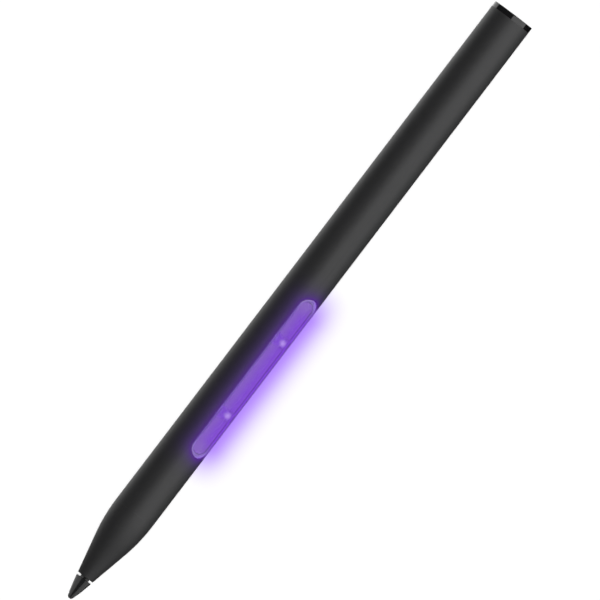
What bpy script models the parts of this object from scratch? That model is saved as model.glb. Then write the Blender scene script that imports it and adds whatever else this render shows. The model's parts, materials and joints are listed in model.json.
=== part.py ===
"""Active stylus pen with a lamp window in its barrel.

The pen lies on a table: its tip points along -X, its end cap along +X, and +Z is up.
Inside the script every piece is drawn in the pen's own axes: x runs from the tip to the end cap,
y across, and z towards the lamp window. One empty, pen_axis, then lays the whole pen down and rolls it.
"""

import math

import bmesh
import bpy
from mathutils import Matrix, Vector

MM = 0.001

# Overall form
PEN_LENGTH = 152.8 * MM
BARREL_DIAMETER = 9.5 * MM
BARREL_WALL = 0.6 * MM
ROLL = math.radians(43)  # the lamp's turn away from straight up, as the pen lies

# Fits
SEAT = 0.05 * MM  # between faces that rest on each other
FIT = 0.05 * MM  # radial, a fixed piece in its hole
SLIDE = 0.10 * MM  # radial, a moving piece in its guide
INNER_CLEARANCE = 0.10 * MM  # radial, inner pieces in the barrel's bore

# Nib and its plunger
NIB_LENGTH = 5.02 * MM
NIB_TIP_RADIUS = 0.67 * MM
NIB_SHOULDER_RADIUS = 1.81 * MM
NIB_BULGE = 0.07 * MM  # how far the nib's side stands out of a straight cone
NIB_NECK_RADIUS = 1.04 * MM
NIB_NECK_LENGTH = 3.6 * MM
NIB_PIN_RADIUS = 0.62 * MM
NIB_PIN_LENGTH = 4.0 * MM
NIB_GAP = 0.52 * MM
NIB_TRAVEL = 0.40 * MM
HOLDER_FLANGE_RADIUS = 1.7 * MM
HOLDER_FLANGE_LENGTH = 0.7 * MM
HOLDER_ROD_RADIUS = 0.8 * MM
SPRING_WIRE = 0.28 * MM
SPRING_TURNS = 4
SPRING_PLAY = 0.15 * MM

# Nose
NOSE_LENGTH = 16.86 * MM
NOSE_FRONT_RADIUS = 1.93 * MM
NOSE_EDGE = 0.12 * MM
NOSE_BLEND_RADIUS = 38 * MM
NOSE_BORE_LENGTH = 4.86 * MM
NOSE_SPIGOT_LENGTH = 6.0 * MM
BUSH_RADIUS = 2.35 * MM
BUSH_LENGTH = 2.9 * MM
TILT_RING_LENGTH = 4.1 * MM
TILT_RING_WALL = 0.4 * MM

# Pressure sensor
CUP_RADIUS = 3.35 * MM
CUP_FRONT_WALL = 1.0 * MM
CUP_WALL = 1.05 * MM
SENSOR_THICKNESS = 1.5 * MM
SENSOR_SEAT_WIDTH = 0.7 * MM
PAD_RADIUS = 1.2 * MM
PAD_THICKNESS = 0.6 * MM
CUP_SKIRT = 1.0 * MM

# Lamp
WINDOW_LENGTH = 41.0 * MM
WINDOW_WIDTH = 5.0 * MM
WINDOW_CENTRE = 59.7 * MM
LENS_CLEARANCE = 0.06 * MM
LENS_DEPTH = 1.30 * MM
GASKET_THICKNESS = 0.30 * MM
TRAY_HEIGHT = 1.20 * MM
TRAY_FLOOR = 0.50 * MM
TRAY_WALL = 0.42 * MM
LED_SPACING = 19.1 * MM
LED_WIDTH = 2.0 * MM
LED_BASE_HEIGHT = 0.45 * MM
LED_WINDOW_WIDTH = 1.4 * MM
LED_WINDOW_HEIGHT = 0.25 * MM
LED_CUP_BOTTOM_RADIUS = 1.5 * MM
LED_CUP_TOP_RADIUS = 1.95 * MM
LAMP_BOARD_THICKNESS = 0.6 * MM
LAMP_BOARD_MARGIN = 0.5 * MM

# Carrier and main board
RAIL_WIDTH = 0.8 * MM
LEDGE_WIDTH = 0.4 * MM
CARRIER_FLOOR = 1.15 * MM
CARRIER_FRONT_WALL = 1.0 * MM
CARRIER_REAR_MARGIN = 2.3 * MM
CARRIER_LAND = 6.0 * MM  # solid ends under the board, for its screws
SCREW_INSET = 3.75 * MM
BOSS_WALL = 0.2 * MM  # room round the boss that clamps the sensor
BOARD_THICKNESS = 0.8 * MM
BOARD_END_GAP = 0.3 * MM
COMPONENT_ROOM = 1.0 * MM
COMPONENT_HEIGHT = 0.8 * MM
COMPONENT_EDGE = 0.08 * MM
CONTROLLER_WIDTH = 4.0 * MM
POWER_CHIP_WIDTH = 3.0 * MM
COIL_WIDTH = 3.2 * MM
COIL_CORNER = 0.7 * MM
SCREW_HEAD_RADIUS = 0.85 * MM
SCREW_HEAD_HEIGHT = 0.45 * MM
SCREW_SHANK_RADIUS = 0.45 * MM
SCREW_SHANK_LENGTH = 2.2 * MM

# Side key
KEY_CENTRE = 46.0 * MM
KEY_LENGTH = 9.0 * MM
KEY_WIDTH = 2.6 * MM
KEY_PROUD = 0.25 * MM
KEY_TRAVEL = 0.25 * MM
KEY_FLANGE_LIP = 0.5 * MM
KEY_FLANGE_THICKNESS = 0.4 * MM
KEY_NUB_RADIUS = 0.8 * MM
SWITCH_LENGTH = 3.4 * MM
SWITCH_WIDTH = 2.8 * MM
SWITCH_HEIGHT = 0.7 * MM
SWITCH_STEM_RADIUS = 0.6 * MM
SWITCH_STEM_HEIGHT = 0.35 * MM

# Battery
BATTERY_ROOM = 0.55 * MM  # between the cell and the bore, for the flex
BATTERY_EDGE = 0.3 * MM
BATTERY_CRIMP = 0.25 * MM
BATTERY_CRIMP_PLACE = 2.5 * MM
BATTERY_PAD_THICKNESS = 1.0 * MM

# Flat flexible leads
FLEX_THICKNESS = 0.14 * MM
FLEX_WIDTH = 2.0 * MM
FLEX_BEND = 0.5 * MM
FLEX_OVERLAP = 2.0 * MM

# Charging end
CAP_BAND = 1.19 * MM
CAP_EDGE = 0.12 * MM
CAP_SPIGOT_LENGTH = 1.8 * MM
CAP_TONGUE_WIDTH = 6.0 * MM
PORT_WIDTH = 6.9 * MM
PORT_FLOOR_WIDTH = 5.4 * MM  # the mouth's narrow long side
PORT_HEIGHT = 1.85 * MM
PORT_SIDE_HEIGHT = 0.95 * MM  # how far down the mouth's sides run straight
PORT_CORNER = 0.3 * MM
PORT_SHEET = 0.25 * MM
PORT_LENGTH = 5.6 * MM
PORT_RECESS = 0.1 * MM
PORT_BASE_LENGTH = 1.6 * MM
PORT_TONGUE_WIDTH = 3.7 * MM
PORT_TONGUE_THICKNESS = 0.6 * MM
PORT_TONGUE_SETBACK = 0.6 * MM
CHARGE_CHIP_WIDTH = 3.0 * MM
CHARGE_BOARD_LENGTH = 16.0 * MM
TAIL_WALL = 1.5 * MM

# Facets and cutting
SIDES = 48  # round the outer pieces
INNER_SIDES = 32
SMALL_SIDES = 20
ARC_STEPS = 12  # along a half circle
OVERCUT = 1.0 * MM
WELD = 0.0001 * MM

# Worked out from the sizes above: radii
BARREL_RADIUS = BARREL_DIAMETER / 2
BORE_RADIUS = BARREL_RADIUS - BARREL_WALL
CORE_RADIUS = BORE_RADIUS - INNER_CLEARANCE
NOSE_BORE_RADIUS = NIB_NECK_RADIUS + SLIDE
PORT_OUTER_HALF_WIDTH = PORT_WIDTH / 2 + PORT_SHEET
PORT_OUTER_HALF_HEIGHT = PORT_HEIGHT / 2 + PORT_SHEET
PORT_BORE_RADIUS = max(BORE_RADIUS, PORT_OUTER_HALF_WIDTH + INNER_CLEARANCE)
BATTERY_RADIUS = BORE_RADIUS - BATTERY_ROOM
BOSS_RADIUS = CUP_RADIUS - CUP_WALL - BOSS_WALL

# Worked out: places along the pen, from the tip
NOSE_FRONT = NIB_LENGTH + NIB_GAP
NOSE_REAR = NOSE_FRONT + NOSE_LENGTH
BARREL_FRONT = NOSE_REAR + SEAT
BARREL_REAR = PEN_LENGTH - CAP_BAND - SEAT
SPIGOT_REAR = NOSE_REAR + NOSE_SPIGOT_LENGTH
BUSH_FRONT = NOSE_FRONT + NOSE_BORE_LENGTH + SEAT
BUSH_REAR = BUSH_FRONT + BUSH_LENGTH
RING_FRONT = BUSH_REAR + SEAT
RING_REAR = RING_FRONT + TILT_RING_LENGTH
CUP_FRONT = RING_REAR + SEAT
HOLDER_FRONT = NIB_LENGTH + NIB_NECK_LENGTH + SEAT
FLANGE_FRONT = BUSH_REAR + SEAT
FLANGE_REAR = FLANGE_FRONT + HOLDER_FLANGE_LENGTH
ROD_REAR = CUP_FRONT + CUP_FRONT_WALL + NIB_TRAVEL
PAD_FRONT = ROD_REAR + NIB_TRAVEL + SEAT
SENSOR_FRONT = PAD_FRONT + PAD_THICKNESS + SEAT
SENSOR_REAR = SENSOR_FRONT + SENSOR_THICKNESS
CUP_REAR = SENSOR_REAR + CUP_SKIRT
BOSS_FRONT = SENSOR_REAR + SEAT
CARRIER_FRONT = SPIGOT_REAR + SEAT
WINDOW_REAR = WINDOW_CENTRE + WINDOW_LENGTH / 2
CARRIER_REAR = WINDOW_REAR + CARRIER_REAR_MARGIN
BOARD_FRONT = CARRIER_FRONT + CARRIER_FRONT_WALL + BOARD_END_GAP
BOARD_REAR = CARRIER_REAR - CARRIER_REAR_MARGIN / 2
FRONT_PAD = CARRIER_REAR + SEAT
BATTERY_FRONT = FRONT_PAD + BATTERY_PAD_THICKNESS + SEAT
PORT_REAR = PEN_LENGTH - PORT_RECESS - PORT_LENGTH
CAP_SPIGOT_FRONT = BARREL_REAR - CAP_SPIGOT_LENGTH
CHARGE_BOARD_REAR = CAP_SPIGOT_FRONT - SEAT
CHARGE_BOARD_FRONT = CHARGE_BOARD_REAR - CHARGE_BOARD_LENGTH
TAIL_FRONT = CHARGE_BOARD_FRONT - BOARD_END_GAP - TAIL_WALL
REAR_PAD = TAIL_FRONT - SEAT - BATTERY_PAD_THICKNESS
BATTERY_REAR = REAR_PAD - SEAT
PORT_BORE_FRONT = PORT_REAR - BOARD_END_GAP

# Worked out: levels across the pen, towards the lamp
LENS_BOTTOM = BARREL_RADIUS - LENS_DEPTH
GASKET_TOP = LENS_BOTTOM - SEAT
TRAY_TOP = GASKET_TOP - GASKET_THICKNESS - SEAT
TRAY_BOTTOM = TRAY_TOP - TRAY_HEIGHT
LAMP_BOARD_TOP = TRAY_BOTTOM - SEAT
LAMP_BOARD_BOTTOM = LAMP_BOARD_TOP - LAMP_BOARD_THICKNESS
BOARD_TOP = LAMP_BOARD_BOTTOM - COMPONENT_ROOM
BOARD_BOTTOM = BOARD_TOP - BOARD_THICKNESS
RAIL_TOP = LAMP_BOARD_BOTTOM - SEAT
LEDGE_TOP = BOARD_BOTTOM - SEAT
SWITCH_TOP = BOARD_BOTTOM - SEAT
STEM_TIP = SWITCH_TOP - SWITCH_HEIGHT - SWITCH_STEM_HEIGHT
NUB_TIP = STEM_TIP - KEY_TRAVEL - SEAT
CHARGE_BOARD_TOP = -PORT_OUTER_HALF_HEIGHT - SEAT
CHARGE_BOARD_BOTTOM = CHARGE_BOARD_TOP - BOARD_THICKNESS
FLEX_TOP_LEVEL = BATTERY_RADIUS + INNER_CLEARANCE + FLEX_THICKNESS / 2


def half_chord(radius, level):
    """Half the width of a round space of this radius, at this distance from its axis."""
    return math.sqrt(radius**2 - level**2)


# Worked out: half widths
KEY_FLANGE_HALF = KEY_WIDTH / 2 + KEY_FLANGE_LIP
KEY_FLANGE_OUTER = -half_chord(CORE_RADIUS, KEY_FLANGE_HALF)
TRAY_HALF = half_chord(CORE_RADIUS, GASKET_TOP)
TRAY_OPENING_HALF = TRAY_HALF - TRAY_WALL
LAMP_BOARD_HALF = half_chord(CORE_RADIUS, LAMP_BOARD_TOP) - SEAT
RAIL_INNER = half_chord(CORE_RADIUS, RAIL_TOP) - RAIL_WIDTH
BOARD_HALF = RAIL_INNER - FIT
CHARGE_BOARD_HALF = half_chord(CORE_RADIUS, CHARGE_BOARD_BOTTOM) - SEAT


def clear_scene():
    for obj in list(bpy.data.objects):
        bpy.data.objects.remove(obj, do_unlink=True)


def make_empty(name, parent=None, at=(0, 0, 0)):
    empty = bpy.data.objects.new(name, None)
    bpy.context.scene.collection.objects.link(empty)
    empty.empty_display_size = BARREL_DIAMETER
    empty.parent = parent
    empty.location = at
    return empty


def make_material(name, colour, roughness, metallic=0.0):
    material = bpy.data.materials.new(name)
    material.use_nodes = True
    shader = material.node_tree.nodes["Principled BSDF"]
    shader.inputs["Base Color"].default_value = (*colour, 1)
    shader.inputs["Roughness"].default_value = roughness
    shader.inputs["Metallic"].default_value = metallic
    return material


def add_object(name, bm, parent, material=None):
    """Turns a bmesh into a named object whose origin is its parent's, seen by the pen's axes."""
    bmesh.ops.recalc_face_normals(bm, faces=bm.faces)
    mesh = bpy.data.meshes.new(name)
    bm.to_mesh(mesh)
    bm.free()
    obj = bpy.data.objects.new(name, mesh)
    bpy.context.scene.collection.objects.link(obj)
    if parent.parent:
        mesh.transform(Matrix.Translation(-parent.location))
    obj.parent = parent
    if material:
        mesh.materials.append(material)
        mesh.shade_smooth()
        mesh.set_sharp_from_angle(angle=math.radians(35))
    else:
        obj.hide_render = True
        obj.display_type = "WIRE"
    return obj


def turned(profile, sides, closed):
    """Spins (x, radius) points round the pen's axis. The flats of the facets lie at the stated radius."""
    bm = bmesh.new()
    first_angle = math.pi / sides - ROLL
    out = 1 / math.cos(math.pi / sides)
    across = Vector((0, math.cos(first_angle), math.sin(first_angle)))
    points = [bm.verts.new(Vector((x, 0, 0)) + across * radius * out) for x, radius in profile]
    edges = [bm.edges.new(pair) for pair in zip(points, points[1:])]
    if closed:
        edges.append(bm.edges.new((points[-1], points[0])))
    bmesh.ops.spin(
        bm,
        geom=points + edges,
        axis=(1, 0, 0),
        cent=(0, 0, 0),
        angle=2 * math.pi,
        steps=sides,
        use_merge=True,
    )
    bmesh.ops.remove_doubles(bm, verts=bm.verts, dist=WELD)
    return bm


def rod(start, end, radius, sides=SIDES):
    return turned([(start, 0), (start, radius), (end, radius), (end, 0)], sides, closed=False)


def tube(start, end, inner, outer, sides=SIDES):
    ring = [(start, inner), (start, outer), (end, outer), (end, inner)]
    return turned(ring, sides, closed=True)


def prism(outline, low, high, place):
    """Extrudes a closed outline from low to high; place turns (first, second, level) into pen axes."""
    bm = bmesh.new()
    base = [bm.verts.new(place(first, second, low)) for first, second in outline]
    face = bm.faces.new(base)
    lift = Vector(place(0, 0, high)) - Vector(place(0, 0, low))
    grown = bmesh.ops.extrude_face_region(bm, geom=[face])["geom"]
    bmesh.ops.translate(bm, vec=lift, verts=[v for v in grown if isinstance(v, bmesh.types.BMVert)])
    return bm


def upright(first, second, level):
    """An outline along and across the pen, raised towards the lamp."""
    return (first, second, level)


def lengthwise(first, second, level):
    """An outline in the pen's cross-section, drawn out along it."""
    return (level, first, second)


def sideways(first, second, level):
    """An outline in the plane of the axis and the lamp, widened across the pen."""
    return (first, level, second)


def rectangle(low_first, high_first, low_second, high_second):
    return [
        (low_first, low_second),
        (high_first, low_second),
        (high_first, high_second),
        (low_first, high_second),
    ]


def stadium(centre, length, half_width):
    """A slot outline with half-round ends, its long side along the first axis."""
    straight = length / 2 - half_width
    points = []
    for side, turn in ((1, -math.pi / 2), (-1, math.pi / 2)):
        for step in range(ARC_STEPS + 1):
            angle = turn + math.pi * step / ARC_STEPS
            along = centre + side * straight + half_width * math.cos(angle)
            points.append((along, half_width * math.sin(angle)))
    return points


def block(x_low, x_high, half_width, z_low, z_high):
    return prism(rectangle(x_low, x_high, -half_width, half_width), z_low, z_high, upright)


def post(x, z_low, z_high, low_radius, high_radius, sides=SMALL_SIDES):
    """A round pin or a cone that stands across the pen, towards the lamp."""
    bm = bmesh.new()
    bmesh.ops.create_cone(
        bm,
        cap_ends=True,
        segments=sides,
        radius1=low_radius,
        radius2=high_radius,
        depth=z_high - z_low,
        matrix=Matrix.Translation((x, 0, (z_low + z_high) / 2)),
    )
    return bm


def highest_face(bm):
    return max(bm.faces, key=lambda face: face.calc_center_median().z)


def draw_up(bm, face, height):
    """Extrudes a face towards the lamp and gives the new face in its place."""
    grown = bmesh.ops.extrude_face_region(bm, geom=[face])["geom"]
    bmesh.ops.delete(bm, geom=[face], context="FACES_ONLY")
    corners = [part for part in grown if isinstance(part, bmesh.types.BMVert)]
    bmesh.ops.translate(bm, vec=(0, 0, height), verts=corners)
    return next(part for part in grown if isinstance(part, bmesh.types.BMFace))


def combine(obj, operation, bm, label):
    """Adds a Boolean whose helper stays hidden beside the piece it shapes."""
    helper = add_object(f"{obj.name}_{label}", bm, obj.parent)
    modifier = obj.modifiers.new(label, "BOOLEAN")
    modifier.operation = operation
    modifier.object = helper
    modifier.solver = "EXACT"


def soften(obj, width):
    modifier = obj.modifiers.new("edges", "BEVEL")
    modifier.width = width
    modifier.segments = 1
    modifier.limit_method = "ANGLE"


def nib_profile():
    """The tip's ball, then a side that bulges a little between the ball and the shoulder."""
    reach = NIB_LENGTH - NIB_TIP_RADIUS
    to_shoulder = math.hypot(reach, NIB_SHOULDER_RADIUS)
    lean = math.atan2(NIB_SHOULDER_RADIUS, reach) - math.asin(NIB_TIP_RADIUS / to_shoulder)
    swing = math.pi / 2 - lean
    ball_steps = 5
    side_steps = 4
    points = []
    for step in range(ball_steps + 1):
        angle = swing * step / ball_steps
        points.append((NIB_TIP_RADIUS * (1 - math.cos(angle)), NIB_TIP_RADIUS * math.sin(angle)))
    start = Vector(points[-1])
    end = Vector((NIB_LENGTH, NIB_SHOULDER_RADIUS))
    outward = (end - start).orthogonal().normalized()
    if outward.y < 0:
        outward.negate()
    for step in range(1, side_steps + 1):
        share = step / side_steps
        points.append(start.lerp(end, share) + outward * NIB_BULGE * math.sin(math.pi * share))
    return [tuple(point) for point in points]


def nose_profile():
    """A straight cone from the front edge that runs into a long arc, level where it meets the barrel."""
    start = Vector((NOSE_FRONT + NOSE_EDGE, NOSE_FRONT_RADIUS))
    centre = Vector((NOSE_REAR, BARREL_RADIUS - NOSE_BLEND_RADIUS))
    to_centre = centre - start
    slope = math.atan2(to_centre.y, to_centre.x) + math.asin(NOSE_BLEND_RADIUS / to_centre.length)
    arc_steps = 6
    points = [(NOSE_FRONT, NOSE_FRONT_RADIUS - NOSE_EDGE), tuple(start)]
    for step in range(arc_steps + 1):
        angle = slope * (1 - step / arc_steps)
        along = centre.x - NOSE_BLEND_RADIUS * math.sin(angle)
        points.append((along, centre.y + NOSE_BLEND_RADIUS * math.cos(angle)))
    return points


def rounded_path(corners, radius, grown=0, steps=4):
    """The path through these corners, each inner corner turned in an arc, which may be grown outwards."""
    path = [Vector(corners[0])]
    for before, corner, after in zip(corners, corners[1:], corners[2:]):
        corner = Vector(corner)
        back = (Vector(before) - corner).normalized()
        ahead = (Vector(after) - corner).normalized()
        half_turn = back.angle(ahead) / 2
        middle = corner + (back + ahead).normalized() * radius / math.sin(half_turn)
        first = corner + back * radius / math.tan(half_turn) - middle
        last = corner + ahead * radius / math.tan(half_turn) - middle
        for step in range(steps + 1):
            path.append(middle + first.lerp(last, step / steps).normalized() * (radius + grown))
    path.append(Vector(corners[-1]))
    return path


def ribbon(corners):
    """A flat flexible lead along a path of (x, z) corners, as thick and wide as the flex."""
    path = rounded_path(corners, FLEX_BEND)
    above = []
    below = []
    for index, point in enumerate(path):
        into = (point - path[index - 1]).normalized() if index else None
        out = (path[index + 1] - point).normalized() if index + 1 < len(path) else None
        along = ((into or out) + (out or into)).normalized()
        across = Vector((-along.y, along.x)) * FLEX_THICKNESS / 2
        above.append(tuple(point + across))
        below.append(tuple(point - across))
    return prism(above + below[::-1], -FLEX_WIDTH / 2, FLEX_WIDTH / 2, sideways)


def spring(start, end, radius, wire, turns):
    """An open coil along the pen's axis, one unbroken tube between two flat-cut ends."""
    points_per_turn = 12
    count = turns * points_per_turn
    curve = bpy.data.curves.new("return_spring", "CURVE")
    curve.dimensions = "3D"
    curve.bevel_depth = wire / 2
    curve.bevel_resolution = 1
    curve.use_fill_caps = True
    line = curve.splines.new("POLY")
    line.points.add(count)
    first = start + wire / 2
    pitch = (end - start - wire) / turns
    for index, point in enumerate(line.points):
        turn = index / points_per_turn
        angle = 2 * math.pi * turn
        point.co = (first + pitch * turn, radius * math.cos(angle), radius * math.sin(angle), 1)
    print(f"return_spring: {turns} turns, least gap between turns {(pitch - wire) / MM:.2f} mm")
    return curve


def build_nib(parent, material):
    neck_end = NIB_LENGTH + NIB_NECK_LENGTH
    pin_end = neck_end + NIB_PIN_LENGTH
    profile = nib_profile()
    profile += [(NIB_LENGTH, NIB_NECK_RADIUS), (neck_end, NIB_NECK_RADIUS)]
    profile += [(neck_end, NIB_PIN_RADIUS), (pin_end, NIB_PIN_RADIUS), (pin_end, 0)]
    add_object("nib", turned(profile, INNER_SIDES, closed=False), parent, material)


def build_nib_holder(parent, material):
    socket_radius = NIB_PIN_RADIUS + FIT
    socket_end = NIB_LENGTH + NIB_NECK_LENGTH + NIB_PIN_LENGTH + SEAT
    profile = [
        (socket_end, 0),
        (socket_end, socket_radius),
        (HOLDER_FRONT, socket_radius),
        (HOLDER_FRONT, NIB_NECK_RADIUS),
        (FLANGE_FRONT, NIB_NECK_RADIUS),
        (FLANGE_FRONT, HOLDER_FLANGE_RADIUS),
        (FLANGE_REAR, HOLDER_FLANGE_RADIUS),
        (FLANGE_REAR, HOLDER_ROD_RADIUS),
        (ROD_REAR, HOLDER_ROD_RADIUS),
        (ROD_REAR, 0),
    ]
    add_object("nib_holder", turned(profile, SMALL_SIDES, closed=False), parent, material)


def build_return_spring(parent, material):
    radius = HOLDER_ROD_RADIUS + SPRING_PLAY + SPRING_WIRE / 2
    curve = spring(FLANGE_REAR + SEAT, CUP_FRONT - SEAT, radius, SPRING_WIRE, SPRING_TURNS)
    curve.materials.append(material)
    obj = bpy.data.objects.new("return_spring", curve)
    bpy.context.scene.collection.objects.link(obj)
    obj.parent = parent


def build_nose(parent, plastic, bush_plastic, copper):
    profile = nose_profile()
    profile += [
        (NOSE_REAR, BORE_RADIUS - FIT),
        (SPIGOT_REAR, BORE_RADIUS - FIT),
        (SPIGOT_REAR, CUP_RADIUS + FIT),
        (RING_REAR, CUP_RADIUS + FIT),
        (RING_REAR, BUSH_RADIUS + FIT),
        (BUSH_FRONT - SEAT, BUSH_RADIUS + FIT),
        (BUSH_FRONT - SEAT, NOSE_BORE_RADIUS),
        (NOSE_FRONT, NOSE_BORE_RADIUS),
    ]
    add_object("nose_cone", turned(profile, SIDES, closed=True), parent, plastic)
    bush = tube(BUSH_FRONT, BUSH_REAR, NOSE_BORE_RADIUS, BUSH_RADIUS, INNER_SIDES)
    add_object("guide_bush", bush, parent, bush_plastic)
    ring = tube(RING_FRONT, RING_REAR, BUSH_RADIUS - TILT_RING_WALL, BUSH_RADIUS, INNER_SIDES)
    add_object("tilt_ring", ring, parent, copper)


def build_sensor(parent, plastic, ceramic, rubber, flex):
    cup_inner = CUP_RADIUS - CUP_WALL
    seat_inner = cup_inner - SENSOR_SEAT_WIDTH
    rod_hole = HOLDER_ROD_RADIUS + SLIDE
    profile = [
        (CUP_FRONT, rod_hole),
        (CUP_FRONT, CUP_RADIUS),
        (CUP_REAR, CUP_RADIUS),
        (CUP_REAR, cup_inner),
        (SENSOR_FRONT - SEAT, cup_inner),
        (SENSOR_FRONT - SEAT, seat_inner),
        (CUP_FRONT + CUP_FRONT_WALL, seat_inner),
        (CUP_FRONT + CUP_FRONT_WALL, rod_hole),
    ]
    add_object("sensor_cup", turned(profile, INNER_SIDES, closed=True), parent, plastic)
    puck = rod(SENSOR_FRONT, SENSOR_REAR, cup_inner - FIT, INNER_SIDES)
    add_object("force_sensor", puck, parent, ceramic)
    pad = rod(PAD_FRONT, PAD_FRONT + PAD_THICKNESS, PAD_RADIUS, SMALL_SIDES)
    add_object("sensor_pad", pad, parent, rubber)
    level = BOARD_TOP + SEAT + FLEX_THICKNESS / 2
    behind = SENSOR_REAR + SEAT + FLEX_THICKNESS / 2
    corners = [(behind, BOSS_RADIUS - SEAT), (behind, level), (BOARD_FRONT + FLEX_OVERLAP, level)]
    add_object("sensor_flex", ribbon(corners), parent, flex)


def build_barrel(parent, material):
    profile = [
        (BARREL_FRONT, BORE_RADIUS),
        (BARREL_FRONT, BARREL_RADIUS),
        (BARREL_REAR, BARREL_RADIUS),
        (BARREL_REAR, PORT_BORE_RADIUS),
        (PORT_BORE_FRONT, PORT_BORE_RADIUS),
        (PORT_BORE_FRONT, BORE_RADIUS),
    ]
    barrel = add_object("barrel", turned(profile, SIDES, closed=True), parent, material)
    outside = BARREL_RADIUS + OVERCUT
    window = stadium(WINDOW_CENTRE, WINDOW_LENGTH, WINDOW_WIDTH / 2)
    combine(barrel, "DIFFERENCE", prism(window, 0, outside, upright), "window")
    slot = stadium(KEY_CENTRE, KEY_LENGTH, KEY_WIDTH / 2)
    combine(barrel, "DIFFERENCE", prism(slot, -outside, 0, upright), "key_slot")


def build_lens(parent, glass, silicone):
    length = WINDOW_LENGTH - 2 * LENS_CLEARANCE
    outline = stadium(WINDOW_CENTRE, length, WINDOW_WIDTH / 2 - LENS_CLEARANCE)
    outside = BARREL_RADIUS + OVERCUT
    lens = add_object("lamp_lens", prism(outline, LENS_BOTTOM, outside, upright), parent, glass)
    crown = rod(WINDOW_CENTRE - length, WINDOW_CENTRE + length, BARREL_RADIUS)
    combine(lens, "INTERSECT", crown, "crown")
    frame = prism(tray_outline(TRAY_HALF), GASKET_TOP - GASKET_THICKNESS, GASKET_TOP, upright)
    gasket = add_object("lens_gasket", frame, parent, silicone)
    opening = prism(tray_outline(TRAY_OPENING_HALF), 0, outside, upright)
    combine(gasket, "DIFFERENCE", opening, "opening")


def tray_outline(half_width):
    """An outline inside the window's, set in as far at its ends as at its sides."""
    set_in = WINDOW_WIDTH / 2 - half_width
    return stadium(WINDOW_CENTRE, WINDOW_LENGTH - 2 * set_in, half_width)


def build_lamp(parent, reflector, board, led_body):
    tray = prism(tray_outline(TRAY_HALF), TRAY_BOTTOM, TRAY_TOP, upright)
    tray = add_object("lamp_tray", tray, parent, reflector)
    hollow = prism(tray_outline(TRAY_OPENING_HALF), TRAY_BOTTOM + TRAY_FLOOR, BARREL_RADIUS, upright)
    combine(tray, "DIFFERENCE", hollow, "hollow")
    flare = (LED_CUP_TOP_RADIUS - LED_CUP_BOTTOM_RADIUS) / TRAY_HEIGHT * OVERCUT
    for label, side in (("front", -1), ("rear", 1)):
        place = WINDOW_CENTRE + side * LED_SPACING / 2
        cup = post(
            place,
            TRAY_BOTTOM - OVERCUT,
            TRAY_TOP + OVERCUT,
            LED_CUP_BOTTOM_RADIUS - flare,
            LED_CUP_TOP_RADIUS + flare,
            2 * ARC_STEPS,
        )
        combine(tray, "DIFFERENCE", cup, f"cup_{label}")
        build_led(f"lamp_led_{label}", place, parent, led_body)
    half_length = WINDOW_LENGTH / 2 + LAMP_BOARD_MARGIN
    plate = block(
        WINDOW_CENTRE - half_length,
        WINDOW_CENTRE + half_length,
        LAMP_BOARD_HALF,
        LAMP_BOARD_BOTTOM,
        LAMP_BOARD_TOP,
    )
    add_object("lamp_board", plate, parent, board)


def build_led(name, place, parent, material):
    """A square package whose small square window stands up from its face."""
    half = LED_WIDTH / 2
    bottom = LAMP_BOARD_TOP + SEAT
    bm = block(place - half, place + half, half, bottom, bottom + LED_BASE_HEIGHT)
    top = highest_face(bm)
    bmesh.ops.inset_region(bm, faces=[top], thickness=(LED_WIDTH - LED_WINDOW_WIDTH) / 2)
    draw_up(bm, top, LED_WINDOW_HEIGHT)
    add_object(name, bm, parent, material)


def build_carrier(parent, plastic):
    profile = [
        (BOSS_FRONT, 0),
        (BOSS_FRONT, BOSS_RADIUS),
        (CARRIER_FRONT, BOSS_RADIUS),
        (CARRIER_FRONT, CORE_RADIUS),
        (CARRIER_REAR, CORE_RADIUS),
        (CARRIER_REAR, 0),
    ]
    carrier = add_object("front_carrier", turned(profile, SIDES, closed=False), parent, plastic)
    inside = CARRIER_FRONT + CARRIER_FRONT_WALL
    past = CARRIER_REAR + OVERCUT
    outside = CORE_RADIUS + OVERCUT
    combine(carrier, "DIFFERENCE", block(inside, past, outside, RAIL_TOP, outside), "open_top")
    pocket = block(inside, past, RAIL_INNER, LEDGE_TOP, outside)
    combine(carrier, "DIFFERENCE", pocket, "board_pocket")
    floor = -CORE_RADIUS + CARRIER_FLOOR
    well = block(
        inside + CARRIER_LAND,
        CARRIER_REAR - CARRIER_LAND,
        BOARD_HALF - LEDGE_WIDTH,
        floor,
        outside,
    )
    combine(carrier, "DIFFERENCE", well, "well")
    room = stadium(KEY_CENTRE, KEY_LENGTH + 2 * (KEY_FLANGE_LIP + SLIDE), KEY_FLANGE_HALF + SLIDE)
    combine(carrier, "DIFFERENCE", prism(room, -outside, floor + SLIDE, upright), "key_hole")
    slot = block(
        BOSS_FRONT - OVERCUT,
        inside + OVERCUT,
        FLEX_WIDTH / 2 + INNER_CLEARANCE,
        BOARD_TOP,
        outside,
    )
    combine(carrier, "DIFFERENCE", slot, "flex_slot")
    for label, place in screw_places():
        hole_bottom = BOARD_TOP - SCREW_SHANK_LENGTH - SEAT
        hole = post(place, hole_bottom, outside, SCREW_SHANK_RADIUS + FIT, SCREW_SHANK_RADIUS + FIT)
        combine(carrier, "DIFFERENCE", hole, f"screw_hole_{label}")


def screw_places():
    front = CARRIER_FRONT + CARRIER_FRONT_WALL + SCREW_INSET
    return (("front", front), ("rear", CARRIER_REAR - SCREW_INSET))


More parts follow.
